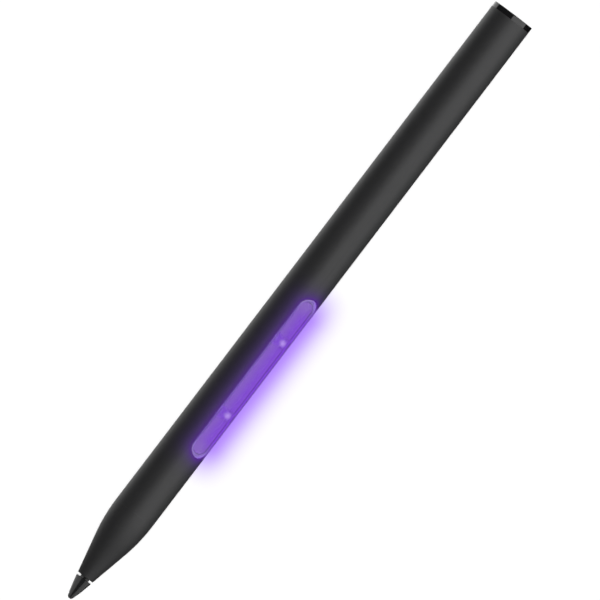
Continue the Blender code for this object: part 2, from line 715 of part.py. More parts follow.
def build_main_board(parent, board, chip, ferrite, steel):
    plate = block(BOARD_FRONT, BOARD_REAR, BOARD_HALF, BOARD_BOTTOM, BOARD_TOP)
    main_board = add_object("main_board", plate, parent, board)
    for label, place in screw_places():
        radius = SCREW_SHANK_RADIUS + FIT
        hole = post(place, BOARD_BOTTOM - OVERCUT, BOARD_TOP + OVERCUT, radius, radius)
        combine(main_board, "DIFFERENCE", hole, f"screw_hole_{label}")
        build_screw(f"board_screw_{label}", place, parent, steel)
    spread = LED_SPACING / 2
    low = BOARD_TOP + SEAT
    high = low + COMPONENT_HEIGHT
    for name, place, width, material in (
        ("controller_chip", WINDOW_CENTRE - spread, CONTROLLER_WIDTH, chip),
        ("power_chip", WINDOW_CENTRE, POWER_CHIP_WIDTH, chip),
        ("boost_coil", WINDOW_CENTRE + spread, COIL_WIDTH, ferrite),
    ):
        half = width / 2
        if name == "boost_coil":
            bm = prism(cut_square(place, half, COIL_CORNER), low, high, upright)
        else:
            bm = block(place - half, place + half, half, low, high)
        soften(add_object(name, bm, parent, material), COMPONENT_EDGE)


def cut_square(centre, half, corner):
    """A square outline with its corners cut off."""
    near = half - corner
    points = []
    for x_side, y_side in ((1, 1), (-1, 1), (-1, -1), (1, -1)):
        pair = [(centre + x_side * half, y_side * near), (centre + x_side * near, y_side * half)]
        points += pair if x_side == y_side else pair[::-1]
    return points


def build_screw(name, place, parent, material):
    """A shank whose end face is widened into the underside of a flat head, and drawn up."""
    head_bottom = BOARD_TOP + SEAT
    bm = post(place, BOARD_TOP - SCREW_SHANK_LENGTH, head_bottom, SCREW_SHANK_RADIUS, SCREW_SHANK_RADIUS)
    underside = draw_up(bm, highest_face(bm), 0)
    widen = SCREW_HEAD_RADIUS / SCREW_SHANK_RADIUS
    from_axis = Matrix.Translation((-place, 0, 0))
    bmesh.ops.scale(bm, vec=(widen, widen, 1), verts=underside.verts[:], space=from_axis)
    draw_up(bm, underside, SCREW_HEAD_HEIGHT)
    add_object(name, bm, parent, material)


def build_switch(parent, material):
    half = SWITCH_LENGTH / 2
    body = block(
        KEY_CENTRE - half,
        KEY_CENTRE + half,
        SWITCH_WIDTH / 2,
        SWITCH_TOP - SWITCH_HEIGHT,
        SWITCH_TOP,
    )
    switch = add_object("tact_switch", body, parent, material)
    root = SWITCH_TOP - SWITCH_HEIGHT / 2
    stem = post(KEY_CENTRE, STEM_TIP, root, SWITCH_STEM_RADIUS, SWITCH_STEM_RADIUS)
    combine(switch, "UNION", stem, "stem")


def build_side_key(parent, material):
    outside = BARREL_RADIUS + KEY_PROUD + OVERCUT
    inner = KEY_FLANGE_OUTER + KEY_FLANGE_THICKNESS / 2
    cap = stadium(KEY_CENTRE, KEY_LENGTH - 2 * SLIDE, KEY_WIDTH / 2 - SLIDE)
    key = add_object("side_key", prism(cap, -outside, inner, upright), parent, material)
    crown = rod(KEY_CENTRE - KEY_LENGTH, KEY_CENTRE + KEY_LENGTH, BARREL_RADIUS + KEY_PROUD)
    combine(key, "INTERSECT", crown, "crown")
    flange = stadium(KEY_CENTRE, KEY_LENGTH + 2 * KEY_FLANGE_LIP, KEY_FLANGE_HALF)
    flange_inner = KEY_FLANGE_OUTER + KEY_FLANGE_THICKNESS
    combine(key, "UNION", prism(flange, KEY_FLANGE_OUTER, flange_inner, upright), "flange")
    nub = post(KEY_CENTRE, inner, NUB_TIP, KEY_NUB_RADIUS, KEY_NUB_RADIUS)
    combine(key, "UNION", nub, "nub")


def build_battery(parent, cell, foam):
    crimp = BATTERY_FRONT + BATTERY_CRIMP_PLACE
    waist = BATTERY_RADIUS - BATTERY_CRIMP
    profile = [
        (BATTERY_FRONT, 0),
        (BATTERY_FRONT, BATTERY_RADIUS - BATTERY_EDGE),
        (BATTERY_FRONT + BATTERY_EDGE, BATTERY_RADIUS),
        (crimp - BATTERY_CRIMP, BATTERY_RADIUS),
        (crimp, waist),
        (crimp + BATTERY_CRIMP, BATTERY_RADIUS),
        (BATTERY_REAR - BATTERY_EDGE, BATTERY_RADIUS),
        (BATTERY_REAR, BATTERY_RADIUS - BATTERY_EDGE),
        (BATTERY_REAR, 0),
    ]
    add_object("battery_cell", turned(profile, INNER_SIDES, closed=False), parent, cell)
    for label, start in (("front", FRONT_PAD), ("rear", REAR_PAD)):
        pad = rod(start, start + BATTERY_PAD_THICKNESS, BATTERY_RADIUS, INNER_SIDES)
        add_object(f"battery_pad_{label}", pad, parent, foam)


def build_power_flex(parent, material):
    on_board = BOARD_TOP + SEAT + FLEX_THICKNESS / 2
    on_charge_board = CHARGE_BOARD_TOP + SEAT + FLEX_THICKNESS / 2
    climb = CARRIER_REAR - FLEX_THICKNESS / 2 - SEAT
    descent = CHARGE_BOARD_FRONT + FLEX_BEND
    corners = [
        (BOARD_REAR - FLEX_OVERLAP / 2, on_board),
        (climb, on_board),
        (climb, FLEX_TOP_LEVEL),
        (descent, FLEX_TOP_LEVEL),
        (descent, on_charge_board),
        (descent + FLEX_OVERLAP, on_charge_board),
    ]
    add_object("power_flex", ribbon(corners), parent, material)


def build_tail(parent, plastic, board, chip):
    carrier = rod(TAIL_FRONT, CHARGE_BOARD_REAR, CORE_RADIUS)
    carrier = add_object("tail_carrier", carrier, parent, plastic)
    outside = CORE_RADIUS + OVERCUT
    inside = TAIL_FRONT + TAIL_WALL
    bed = CHARGE_BOARD_BOTTOM - SEAT
    opening = block(inside, CHARGE_BOARD_REAR + OVERCUT, outside, bed, outside)
    combine(carrier, "DIFFERENCE", opening, "open_top")
    notch = block(
        TAIL_FRONT - OVERCUT,
        inside + OVERCUT,
        FLEX_WIDTH / 2 + INNER_CLEARANCE,
        BATTERY_RADIUS,
        outside,
    )
    combine(carrier, "DIFFERENCE", notch, "flex_notch")
    plate = block(
        CHARGE_BOARD_FRONT,
        CHARGE_BOARD_REAR,
        CHARGE_BOARD_HALF,
        CHARGE_BOARD_BOTTOM,
        CHARGE_BOARD_TOP,
    )
    add_object("charge_board", plate, parent, board)
    middle = (CHARGE_BOARD_FRONT + PORT_REAR) / 2
    half = CHARGE_CHIP_WIDTH / 2
    low = CHARGE_BOARD_TOP + SEAT
    body = block(middle - half, middle + half, half, low, low + COMPONENT_HEIGHT)
    soften(add_object("charge_chip", body, parent, chip), COMPONENT_EDGE)


def port_outline(grown):
    """The socket's keyed mouth, wide above and slanted in below, with this much added all round."""
    half = PORT_WIDTH / 2
    top = PORT_HEIGHT / 2
    right = [(0, top), (half, top), (half, top - PORT_SIDE_HEIGHT), (PORT_FLOOR_WIDTH / 2, -top)]
    left = [(-first, second) for first, second in right[::-1]]
    arcs = rounded_path(right + left, PORT_CORNER, grown)[1:-1]
    return [tuple(point) for point in arcs]


def build_port(parent, steel, plastic):
    mouth = PEN_LENGTH - PORT_RECESS
    sheet = prism(port_outline(PORT_SHEET), PORT_REAR, mouth, lengthwise)
    shell = add_object("port_shell", sheet, parent, steel)
    hollow = prism(port_outline(0), PORT_REAR - OVERCUT, mouth + OVERCUT, lengthwise)
    combine(shell, "DIFFERENCE", hollow, "hollow")
    base_end = PORT_REAR + PORT_BASE_LENGTH
    filling = prism(port_outline(-FIT), PORT_REAR, base_end, lengthwise)
    base = add_object("port_tongue", filling, parent, plastic)
    blade = block(
        base_end - PORT_BASE_LENGTH / 2,
        mouth - PORT_TONGUE_SETBACK,
        PORT_TONGUE_WIDTH / 2,
        -PORT_TONGUE_THICKNESS / 2,
        PORT_TONGUE_THICKNESS / 2,
    )
    combine(base, "UNION", blade, "blade")


def build_end_cap(parent, material):
    spigot_radius = PORT_BORE_RADIUS - FIT
    face = PEN_LENGTH - CAP_BAND
    profile = [
        (CAP_SPIGOT_FRONT, 0),
        (CAP_SPIGOT_FRONT, spigot_radius),
        (face, spigot_radius),
        (face, BARREL_RADIUS),
        (PEN_LENGTH - CAP_EDGE, BARREL_RADIUS),
        (PEN_LENGTH, BARREL_RADIUS - CAP_EDGE),
        (PEN_LENGTH, 0),
    ]
    cap = add_object("end_cap", turned(profile, SIDES, closed=False), parent, material)
    past = PEN_LENGTH + OVERCUT
    before = CAP_SPIGOT_FRONT - OVERCUT
    hole = prism(port_outline(PORT_SHEET + FIT), before, past, lengthwise)
    combine(cap, "DIFFERENCE", hole, "port_hole")
    outside = BARREL_DIAMETER
    for label, side in (("left", 1), ("right", -1)):
        near = side * CAP_TONGUE_WIDTH / 2
        far = side * outside
        edges = rectangle(before, face, min(near, far), max(near, far))
        relief = prism(edges, -outside, outside, upright)
        combine(cap, "DIFFERENCE", relief, f"relief_{label}")


def main():
    clear_scene()
    pen_axis = make_empty("pen_axis", at=(-PEN_LENGTH / 2, 0, BARREL_RADIUS))
    pen_axis.rotation_euler = (ROLL, 0, 0)
    nib_slide = make_empty("nib_slide", pen_axis, (NIB_LENGTH, 0, 0))
    key_press = make_empty("key_press", pen_axis, (KEY_CENTRE, 0, -BARREL_RADIUS))

    matte_black = make_material("matte_black_metal", (0.022, 0.022, 0.024), 0.45, 0.6)
    black_plastic = make_material("black_plastic", (0.022, 0.022, 0.024), 0.45)
    gloss_black = make_material("gloss_black_plastic", (0.01, 0.01, 0.011), 0.08)
    nib_grey = make_material("nib_grey_plastic", (0.05, 0.05, 0.055), 0.3)
    key_black = make_material("key_black_plastic", (0.03, 0.03, 0.033), 0.4)
    lens_violet = make_material("lens_violet_glass", (0.22, 0.08, 0.6), 0.1)
    silicone = make_material("pale_silicone", (0.55, 0.5, 0.65), 0.5)
    reflector = make_material("white_reflector", (0.8, 0.78, 0.85), 0.4)
    led_yellow = make_material("led_package", (0.75, 0.68, 0.4), 0.3)
    carrier_grey = make_material("carrier_grey_plastic", (0.12, 0.12, 0.13), 0.55)
    bush_white = make_material("bush_white_plastic", (0.75, 0.75, 0.72), 0.4)
    copper = make_material("copper", (0.72, 0.35, 0.2), 0.3, 1.0)
    brass = make_material("brass", (0.7, 0.52, 0.22), 0.3, 1.0)
    steel = make_material("steel", (0.6, 0.6, 0.62), 0.3, 1.0)
    ceramic = make_material("sensor_ceramic", (0.7, 0.7, 0.68), 0.5)
    rubber = make_material("grey_rubber", (0.1, 0.1, 0.1), 0.8)
    foam = make_material("black_foam", (0.03, 0.03, 0.03), 0.9)
    board_green = make_material("board_green", (0.02, 0.16, 0.06), 0.4)
    board_white = make_material("board_white", (0.75, 0.75, 0.75), 0.4)
    chip_black = make_material("chip_black", (0.02, 0.02, 0.02), 0.35)
    ferrite = make_material("ferrite_grey", (0.07, 0.07, 0.075), 0.6)
    flex_amber = make_material("flex_amber", (0.5, 0.22, 0.03), 0.3)
    cell_blue = make_material("cell_blue_sleeve", (0.05, 0.15, 0.4), 0.35)

    build_nib(nib_slide, nib_grey)
    build_nib_holder(nib_slide, brass)
    build_return_spring(pen_axis, steel)
    build_nose(pen_axis, black_plastic, bush_white, copper)
    build_sensor(pen_axis, carrier_grey, ceramic, rubber, flex_amber)
    build_barrel(pen_axis, matte_black)
    build_lens(pen_axis, lens_violet, silicone)
    build_lamp(pen_axis, reflector, board_white, led_yellow)
    build_carrier(pen_axis, carrier_grey)
    build_main_board(pen_axis, board_green, chip_black, ferrite, steel)
    build_switch(pen_axis, steel)
    build_side_key(key_press, key_black)
    build_battery(pen_axis, cell_blue, foam)
    build_power_flex(pen_axis, flex_amber)
    build_tail(pen_axis, carrier_grey, board_green, chip_black)
    build_port(pen_axis, steel, chip_black)
    build_end_cap(pen_axis, gloss_black)


main()
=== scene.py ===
# %% [markdown]
# # Dressing a stylus pen with a lit lamp window
#
# The pen's construction is finished: each piece has its size, its place and its joint. This lesson
# loads that frame and gives the pen what a camera sees: fine round shells, finishes made of nodes,
# a lamp that glows behind its window, and a small studio. No piece of the frame is moved or resized.

# %% Load the pen
import json
import math

import bmesh
import bpy
from mathutils import Matrix, Vector


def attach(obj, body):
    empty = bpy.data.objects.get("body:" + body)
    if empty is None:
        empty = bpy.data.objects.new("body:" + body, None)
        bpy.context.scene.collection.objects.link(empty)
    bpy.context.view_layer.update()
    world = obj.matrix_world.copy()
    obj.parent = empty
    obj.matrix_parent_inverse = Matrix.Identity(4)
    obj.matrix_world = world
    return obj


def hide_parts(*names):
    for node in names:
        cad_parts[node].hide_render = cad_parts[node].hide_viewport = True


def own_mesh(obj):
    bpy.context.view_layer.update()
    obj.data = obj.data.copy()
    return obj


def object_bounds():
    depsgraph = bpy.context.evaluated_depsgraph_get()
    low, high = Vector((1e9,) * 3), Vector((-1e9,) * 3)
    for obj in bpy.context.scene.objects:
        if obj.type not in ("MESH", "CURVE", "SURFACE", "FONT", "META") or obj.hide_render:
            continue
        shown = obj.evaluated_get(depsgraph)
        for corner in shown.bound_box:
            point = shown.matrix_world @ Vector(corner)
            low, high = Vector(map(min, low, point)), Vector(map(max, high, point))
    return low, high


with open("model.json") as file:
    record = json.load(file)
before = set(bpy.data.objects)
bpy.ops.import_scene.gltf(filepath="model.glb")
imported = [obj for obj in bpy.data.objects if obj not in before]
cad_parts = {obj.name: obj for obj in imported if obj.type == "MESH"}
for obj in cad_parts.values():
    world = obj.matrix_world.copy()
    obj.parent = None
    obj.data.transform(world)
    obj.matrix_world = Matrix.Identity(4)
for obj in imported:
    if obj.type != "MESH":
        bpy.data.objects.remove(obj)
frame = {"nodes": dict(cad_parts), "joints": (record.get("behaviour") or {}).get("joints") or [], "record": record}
CAD_LOW, CAD_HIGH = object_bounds()
MM = 0.001
scene = bpy.context.scene
box_size = [round(side / MM, 2) for side in CAD_HIGH - CAD_LOW]
print(f"loaded {len(frame['nodes'])} nodes in a box of {box_size} mm")

# %% [markdown]
# ## The pen's own axes
#
# The pen lies on the table, rolled so that its lamp looks up and to one side. Every shell below is
# easier to draw in the pen's own axes: x from the tip to the end, y across, z towards the lamp. One
# matrix then lays a finished shell into the pen. The lamp's side comes from the frame: the key is
# pushed in straight towards the lamp, so the key's joint axis is the lamp's direction. Another way is
# to turn each mesh by hand, but a matrix keeps all of the pieces in step.

# %% Work out the axes and measure nodes in them


def joint_named(name):
    return next(joint for joint in frame["joints"] if joint["name"] == name)


TOWARDS_LAMP = Vector(joint_named("key_press")["axis"]).normalized()
ALONG = Vector((1, 0, 0))
ACROSS = TOWARDS_LAMP.cross(ALONG)
RADIUS = (CAD_HIGH.z - CAD_LOW.z) / 2
PEN_AXES = Matrix((ALONG, ACROSS, TOWARDS_LAMP)).transposed().to_4x4()
PEN_AXES.translation = (CAD_LOW.x, 0, CAD_LOW.z + RADIUS)
TO_PEN = PEN_AXES.inverted()


def pen_box(node):
    """A node's lowest and highest corner, seen in the pen's own axes."""
    corners = [TO_PEN @ vertex.co for vertex in frame["nodes"][node].data.vertices]
    low = Vector([min(corner[i] for corner in corners) for i in range(3)])
    high = Vector([max(corner[i] for corner in corners) for i in range(3)])
    return low, high


roll = math.degrees(math.atan2(-TOWARDS_LAMP.y, TOWARDS_LAMP.z))
print(f"a barrel of {RADIUS / MM:.2f} mm radius, its lamp turned {roll:.1f} degrees from straight up")

# %% [markdown]
# ## Finishes made of nodes
#
# A real surface is never one flat colour: a blasted tube has grain, a moulded part has a faint skin,
# a turned pin has rings. Painted image maps could show this, but nodes need no unwrapping and stay sharp
# at any distance. A node tree written out in full is long to read, so a few helpers come first. One adds
# a node and links it, and the others are the sums that the finishes below keep asking for.

# %% Write small helpers for node trees
BLACK = (0, 0, 0)


def fill(tree, socket, value):
    """Links a node's output to a socket, or sets the socket to a plain value."""
    if isinstance(value, bpy.types.NodeSocket):
        tree.links.new(value, socket)
    else:
        socket.default_value = value


def add(tree, kind, inputs=(), output=0, **settings):
    """Adds a shader node, sets it up, fills its inputs and gives one of its outputs."""
    made = tree.nodes.new("ShaderNode" + kind)
    for name, value in settings.items():
        setattr(made, name, value)
    for socket, value in dict(inputs).items():
        fill(tree, made.inputs[socket], value)
    return made.outputs[output]


def math_node(tree, operation, *values):
    return add(tree, "Math", dict(enumerate(values)), operation=operation)


def product(tree, value, *others):
    for other in others:
        value = math_node(tree, "MULTIPLY", value, other)
    return value


def gap(tree, value, other):
    """How far apart two numbers are."""
    return math_node(tree, "ABSOLUTE", math_node(tree, "SUBTRACT", value, other))


def hypotenuse(tree, first, second):
    """The long side of a right-angled triangle with these two short sides."""
    squares = math_node(tree, "MULTIPLY_ADD", first, first, product(tree, second, second))
    return math_node(tree, "SQRT", squares)


def ramp(tree, value, start, stop, first=0.0, last=1.0, kind="LINEAR"):
    """Goes from the first number to the last one while a value goes from start to stop."""
    ends = {0: value, 1: start, 2: stop, 3: first, 4: last}
    return add(tree, "MapRange", ends, interpolation_type=kind)


def fade(tree, value, start, stop, first=0.0, last=1.0):
    """A ramp that sets off and arrives softly."""
    return ramp(tree, value, start, stop, first, last, kind="SMOOTHSTEP")


def mix_colour(tree, share, first, second):
    """Blends two colours, each a node's output or three plain numbers."""
    ends = [end if isinstance(end, bpy.types.NodeSocket) else (*end, 1) for end in (first, second)]
    return add(tree, "Mix", {0: share, 6: ends[0], 7: ends[1]}, output=2, data_type="RGBA")


print("node trees can be written: sums, ramps, fades and mixed colours")

# %% [markdown]
# ### Knowing the place
#
# Some marks belong to one place on the pen, such as a glow round the window or a spot above a lamp, so the
# nodes have to know where the shaded point lies. A piece's generated coordinates would stretch with its
# size. All pieces lie in one frame, though, so object coordinates turned by the pen's matrix are true
# lengths in the pen's own axes. They move with the piece, so no mark slides when a joint moves.

# %% Find the shaded point and start a finish


def split(tree, point):
    """A point's x, y and z."""
    parts = tree.nodes.new("ShaderNodeSeparateXYZ")
    tree.links.new(point, parts.inputs[0])
    return parts.outputs[:]


def object_point(tree):
    return add(tree, "TexCoord", output="Object")


def place_of(tree):
    """The shaded point in the pen's own axes, as x, y and z."""
    turn = {"Vector": object_point(tree), "Location": TO_PEN.translation, "Rotation": TO_PEN.to_euler()}
    return split(tree, add(tree, "Mapping", turn))


def feed(tree, shader, **values):
    """Fills the shader's sockets, by their names: Base_Color=..., Roughness=..., Normal=..."""
    for name, value in values.items():
        fill(tree, shader.inputs[name.replace("_", " ")], value)


def shine(tree, shader, light):
    """Lets a surface give off a colour by itself."""
    feed(tree, shader, Emission_Strength=1.0, Emission_Color=light)


def new_finish(name, roughness, metallic=0.0):
    """A material with its node tree and its main shader."""
    material = bpy.data.materials.new(name)
    material.use_nodes = True
    tree = material.node_tree
    shader = tree.nodes["Principled BSDF"]
    feed(tree, shader, Roughness=roughness, Metallic=metallic)
    return material, tree, shader


turns = [round(math.degrees(angle), 1) for angle in TO_PEN.to_euler()]
print(f"finishes turn their coordinates by {turns} degrees")

# %% [markdown]
# ### One recipe for grain
#
# Most of the pen's finishes differ only in scale and strength: how big the grain is, how far the tone
# and the gloss swing, how deep the relief is, and whether the marks run one way. One texture steers colour,
# gloss and relief together, because on the real thing all three come from the same marks. So one function
# holds the recipe, and each finish is a line of settings. A second, wider noise keeps large faces from
# looking printed.

# %% Write the grain recipe
FINE = 1 / MM  # one noise cell per millimetre
WIDER = 25  # how many times wider the second noise is
FINE_SHARE = 0.6
RELIEF = 0.6
NOISE_SPAN = (0.3, 0.7)  # where nearly all of a noise's values lie
EVEN = (1, 1, 1)  # marks that run no particular way


def grain(tree, cell, stretch=EVEN, detail=3.0):
    """A noise whose cells are this many millimetres wide, drawn out along an axis if asked."""
    placed = add(tree, "Mapping", {"Vector": object_point(tree), "Scale": stretch})
    return add(tree, "TexNoise", {"Vector": placed, "Scale": FINE / cell, "Detail": detail})


def grained(name, dark, light, cell, roughness, swing, depth, metallic=0.0, stretch=EVEN):
    """A finish whose tone, gloss and relief follow one fine grain, over a wider and fainter one."""
    material, tree, shader = new_finish(name, roughness, metallic)
    fine = grain(tree, cell, stretch)
    wide = grain(tree, cell * WIDER, stretch, detail=1.0)
    marks = math_node(tree, "MULTIPLY_ADD", wide, 1 - FINE_SHARE, product(tree, fine, FINE_SHARE))
    gloss = ramp(tree, marks, *NOISE_SPAN, roughness - swing, roughness + swing)
    relief = add(tree, "Bump", {"Height": fine, "Strength": RELIEF, "Distance": depth})
    feed(tree, shader, Base_Color=mix_colour(tree, marks, dark, light), Roughness=gloss, Normal=relief)
    return material, tree, shader


print(f"grain: {FINE_SHARE:.0%} fine marks, the rest {WIDER} times as wide")

# %% [markdown]
# ## Turned skins
#
# Most shells of a pen are round, like work from a lathe, and Blender's spin makes them from a half profile.
# Sharp corners are rolled off with small arcs before the skin is made, because real edges catch the light. A
# modifier that bevels afterwards could do it too, but it would also find the facets.

# %% Roll corners off and turn a profile
ROUND = 160  # steps round an outer shell
EASE_STEPS = 4  # steps along a rolled-off corner
NEARLY_STRAIGHT = math.radians(80)  # half the angle of a corner that is left as it is
SIDE_SHARE = 0.45  # how much of a side one corner's arc may take
WELD = 0.0005 * MM  # points closer than this are one point


def eased(corners, radius, grown=0.0, loop=False):
    """A path through corners with each real corner turned in an arc, which may be grown outwards."""
    corners = [Vector(corner) for corner in corners]
    points = []
    for index, corner in enumerate(corners):
        if not loop and index in (0, len(corners) - 1):
            points.append(corner)
            continue
        back = corners[index - 1] - corner
        ahead = corners[(index + 1) % len(corners)] - corner
        half_turn = back.angle(ahead) / 2
        if half_turn > NEARLY_STRAIGHT:
            points.append(corner)
            continue
        longest = SIDE_SHARE * min(back.length, ahead.length)
        reach = min(radius / math.tan(half_turn), longest)
        bend = reach * math.tan(half_turn)
        back.normalize()
        ahead.normalize()
        middle = corner + (back + ahead).normalized() * bend / math.sin(half_turn)
        first = corner + back * reach - middle
        last = corner + ahead * reach - middle
        for step in range(EASE_STEPS + 1):
            spoke = first.lerp(last, step / EASE_STEPS).normalized()
            points.append(middle + spoke * (bend + grown))
    return points


def turned(profile, hollow=False, steps=ROUND):
    """Spins (x, radius) points round the pen's axis. A hollow profile is a closed loop."""
    bm = bmesh.new()
    points = [bm.verts.new((x, 0, radius)) for x, radius in profile]
    edges = [bm.edges.new(pair) for pair in zip(points, points[1:])]
    if hollow:
        edges.append(bm.edges.new((points[-1], points[0])))
    full_turn = {"angle": math.tau, "steps": steps, "axis": (1, 0, 0), "cent": (0, 0, 0)}
    bmesh.ops.spin(bm, geom=points + edges, use_merge=True, **full_turn)
    bmesh.ops.remove_doubles(bm, verts=bm.verts, dist=WELD)
    return bm


facet = RADIUS * (1 - math.cos(math.pi / ROUND))
print(f"a shell of {ROUND} steps strays {facet / MM:.4f} mm from a true circle")

# %% [markdown]
# ## Lofted skins
#
# The window and the key are long bars with half-round ends and a crown that follows the barrel. A Boolean
# could cross a prism with a cylinder, but its long thin faces shade badly under gloss. Here they are lofted:
# rings of one outline, each a little smaller and laid on the cylinder, are joined one to the next. That
# gives an even skin with a rolled edge.

# %% Draw outlines and join them into skins
ARC = 24  # steps along a half-round end
MIDDLE_STRIP = 0.1 * MM  # half the breadth of the strip that closes a crown


def loft(rings, loop=False):
    """Joins rings of equally many points into one closed skin."""
    bm = bmesh.new()
    rows = [[bm.verts.new(point) for point in ring] for ring in rings]
    pairs = list(zip(rows, rows[1:]))
    if loop:
        pairs.append((rows[-1], rows[0]))
    else:
        bm.faces.new(rows[0])
        bm.faces.new(rows[-1])
    for here, there in pairs:
        for index, corner in enumerate(here):
            after = (index + 1) % len(here)
            bm.faces.new((corner, here[after], there[after], there[index]))
    return bm


def stadium(centre, half_length, half_width):
    """An outline with half-round ends, as (x, y) points."""
    points = []
    for side in (1, -1):
        middle = centre + side * (half_length - half_width)
        for step in range(ARC + 1):
            angle = math.pi * (step / ARC - 0.5)
            out, along = half_width * math.cos(angle), half_width * math.sin(angle)
            points.append((middle + side * out, side * along))
    return points


def flat(outline, level):
    return [(x, y, level) for x, y in outline]


def on_round(outline, radius, side=1):
    """An outline laid on a cylinder round the pen's axis, on the lamp's side or on the other."""
    return [(x, y, side * math.sqrt(radius**2 - y**2)) for x, y in outline]


def rolled_edge(radius):
    """A quarter arc from a wall to the face that it meets, as (set in, sunk) pairs."""
    angles = [math.pi / 2 * step / EASE_STEPS for step in range(EASE_STEPS + 1)]
    return [(radius * (1 - math.cos(angle)), radius * (1 - math.sin(angle))) for angle in angles]


def crowned(outline, ease, half_width, radius, count, side=1):
    """The rings of a crown: a rolled edge, and then this many more as far as a narrow strip."""
    rings = [on_round(outline(set_in), radius - sunk, side) for set_in, sunk in rolled_edge(ease)]
    inner = half_width - MIDDLE_STRIP
    for step in range(1, count + 1):
        rings.append(on_round(outline(ease + (inner - ease) * step / count), radius, side))
    return rings


print(f"a half-round end has {ARC} steps, so its outline has {2 * ARC + 2} points")

# %% [markdown]
# ## Cutting skins with each other
#
# Slots, cups and holes are where one form takes a bite out of another. Blender's exact Boolean does that, on
# helper objects that are gone afterwards. It leaves slivers and faces with many corners, which shade badly
# and make poor files, so each result is welded and such faces are cut into triangles.

# %% Make plain cutters and combine skins


def block(centre, size):
    """A plain box."""
    bm = bmesh.new()
    bmesh.ops.create_cube(bm, size=1, matrix=Matrix.LocRotScale(Vector(centre), None, Vector(size)))
    return bm


def cone(where, low, high, low_radius, high_radius):
    """A closed cone or post towards the lamp, between two levels."""
    bm = bmesh.new()
    shape = {"radius1": low_radius, "radius2": high_radius, "depth": high - low}
    place = Matrix.Translation((where, 0, (low + high) / 2))
    bmesh.ops.create_cone(bm, cap_ends=True, segments=2 * ARC, matrix=place, **shape)
    return bm


def to_mesh(name, bm):
    """Turns a skin into a mesh whose faces all look outwards."""
    bmesh.ops.recalc_face_normals(bm, faces=bm.faces)
    mesh = bpy.data.meshes.new(name)
    bm.to_mesh(mesh)
    bm.free()
    return mesh


def place_object(name, data):
    made = bpy.data.objects.new(name, data)
    scene.collection.objects.link(made)
    return made


def combine(bm, operation, tools):
    """Cuts, joins or crosses a skin with others by Blender's exact Boolean."""
    helpers = [place_object("scratch", to_mesh("scratch", skin)) for skin in (bm, *tools)]
    for helper in helpers[1:]:
        modifier = helpers[0].modifiers.new("combine", "BOOLEAN")
        modifier.operation = operation
        modifier.solver = "EXACT"
        modifier.object = helper
    result = bmesh.new()
    result.from_object(helpers[0], bpy.context.evaluated_depsgraph_get())
    bmesh.ops.remove_doubles(result, verts=result.verts, dist=WELD)
    bmesh.ops.dissolve_degenerate(result, edges=result.edges, dist=WELD)
    many_sided = [face for face in result.faces if len(face.verts) > 4]
    bmesh.ops.triangulate(result, faces=many_sided, ngon_method="BEAUTY")
    for helper in helpers:
        mesh = helper.data
        bpy.data.objects.remove(helper)
        bpy.data.meshes.remove(mesh)
    return result


print(f"after a cut, points within {WELD / MM:.4f} mm are welded")

# %% [markdown]
# ## From a skin to a piece
#
# A finished skin is laid into the pen by the pen's matrix. The mesh itself is moved and the object stays at
# the frame's origin, so that every piece shares one set of object coordinates. Each piece rides on a body,
# so it follows that body's joint, and most stand for the plain node of the frame that they cover.

# %% Lay skins into the pen
SHARP = math.radians(32)  # faces that meet at more than this keep a crisp edge
SLOT_OF = {part["node"]: part["material_slot"] for part in frame["record"]["subparts"]}


def add_piece(name, bm, material, node=None, body="pen_body"):
    """Lays a skin into the pen as a piece that rides on a body and stands for a node."""
    mesh = to_mesh(name, bm)
    mesh.transform(PEN_AXES)
    mesh.materials.clear()
    mesh.materials.append(material)
    mesh.shade_smooth()
    mesh.set_sharp_from_angle(angle=SHARP)
    piece = place_object(name, mesh)
    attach(piece, body)
    if node:
        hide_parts(node)
    print(f"{name}: {len(mesh.polygons)} faces, on {body}")
    return piece


print("the frame's material slots:", sorted(set(SLOT_OF.values())))

# %% [markdown]
# ## The window's outline
#
# The slot for the lamp is a straight stretch with half-round ends. Several finishes need to know how far a
# point lies from it: the barrel for its glow, the lens for its rim, the seal and the tray for their tones.
# The distance could be painted on each mesh, but three sums with nodes give it everywhere.

# %% Measure the window
LENS_CLEARANCE = 0.06 * MM
lens_low, lens_high = pen_box("lamp_lens")
WINDOW_CENTRE = (lens_low.x + lens_high.x) / 2
WINDOW_HALF_LENGTH = (lens_high.x - lens_low.x) / 2 + LENS_CLEARANCE
WINDOW_HALF_WIDTH = lens_high.y + LENS_CLEARANCE
STRAIGHT_HALF = WINDOW_HALF_LENGTH - WINDOW_HALF_WIDTH


def past_straight(tree, x):
    """How far the shaded point lies beyond the straight part of the window, towards either end."""
    return math_node(tree, "SUBTRACT", gap(tree, x, WINDOW_CENTRE), STRAIGHT_HALF)


def off_middle(tree, x, across):
    """How far the shaded point lies from the window's middle line."""
    return hypotenuse(tree, math_node(tree, "MAXIMUM", past_straight(tree, x), 0.0), across)


def window_distance(tree):
    """How far the shaded point lies from the window's outline, over the barrel's curve."""
    x, y, z = place_of(tree)
    round_way = product(tree, math_node(tree, "ARCTAN2", y, z), RADIUS)
    half_arc = RADIUS * math.asin(WINDOW_HALF_WIDTH / RADIUS)
    outside = math_node(tree, "SUBTRACT", off_middle(tree, x, round_way), half_arc)
    return math_node(tree, "MAXIMUM", outside, 0.0)


print(f"window {2 * WINDOW_HALF_LENGTH / MM:.1f} x {2 * WINDOW_HALF_WIDTH / MM:.1f} mm")
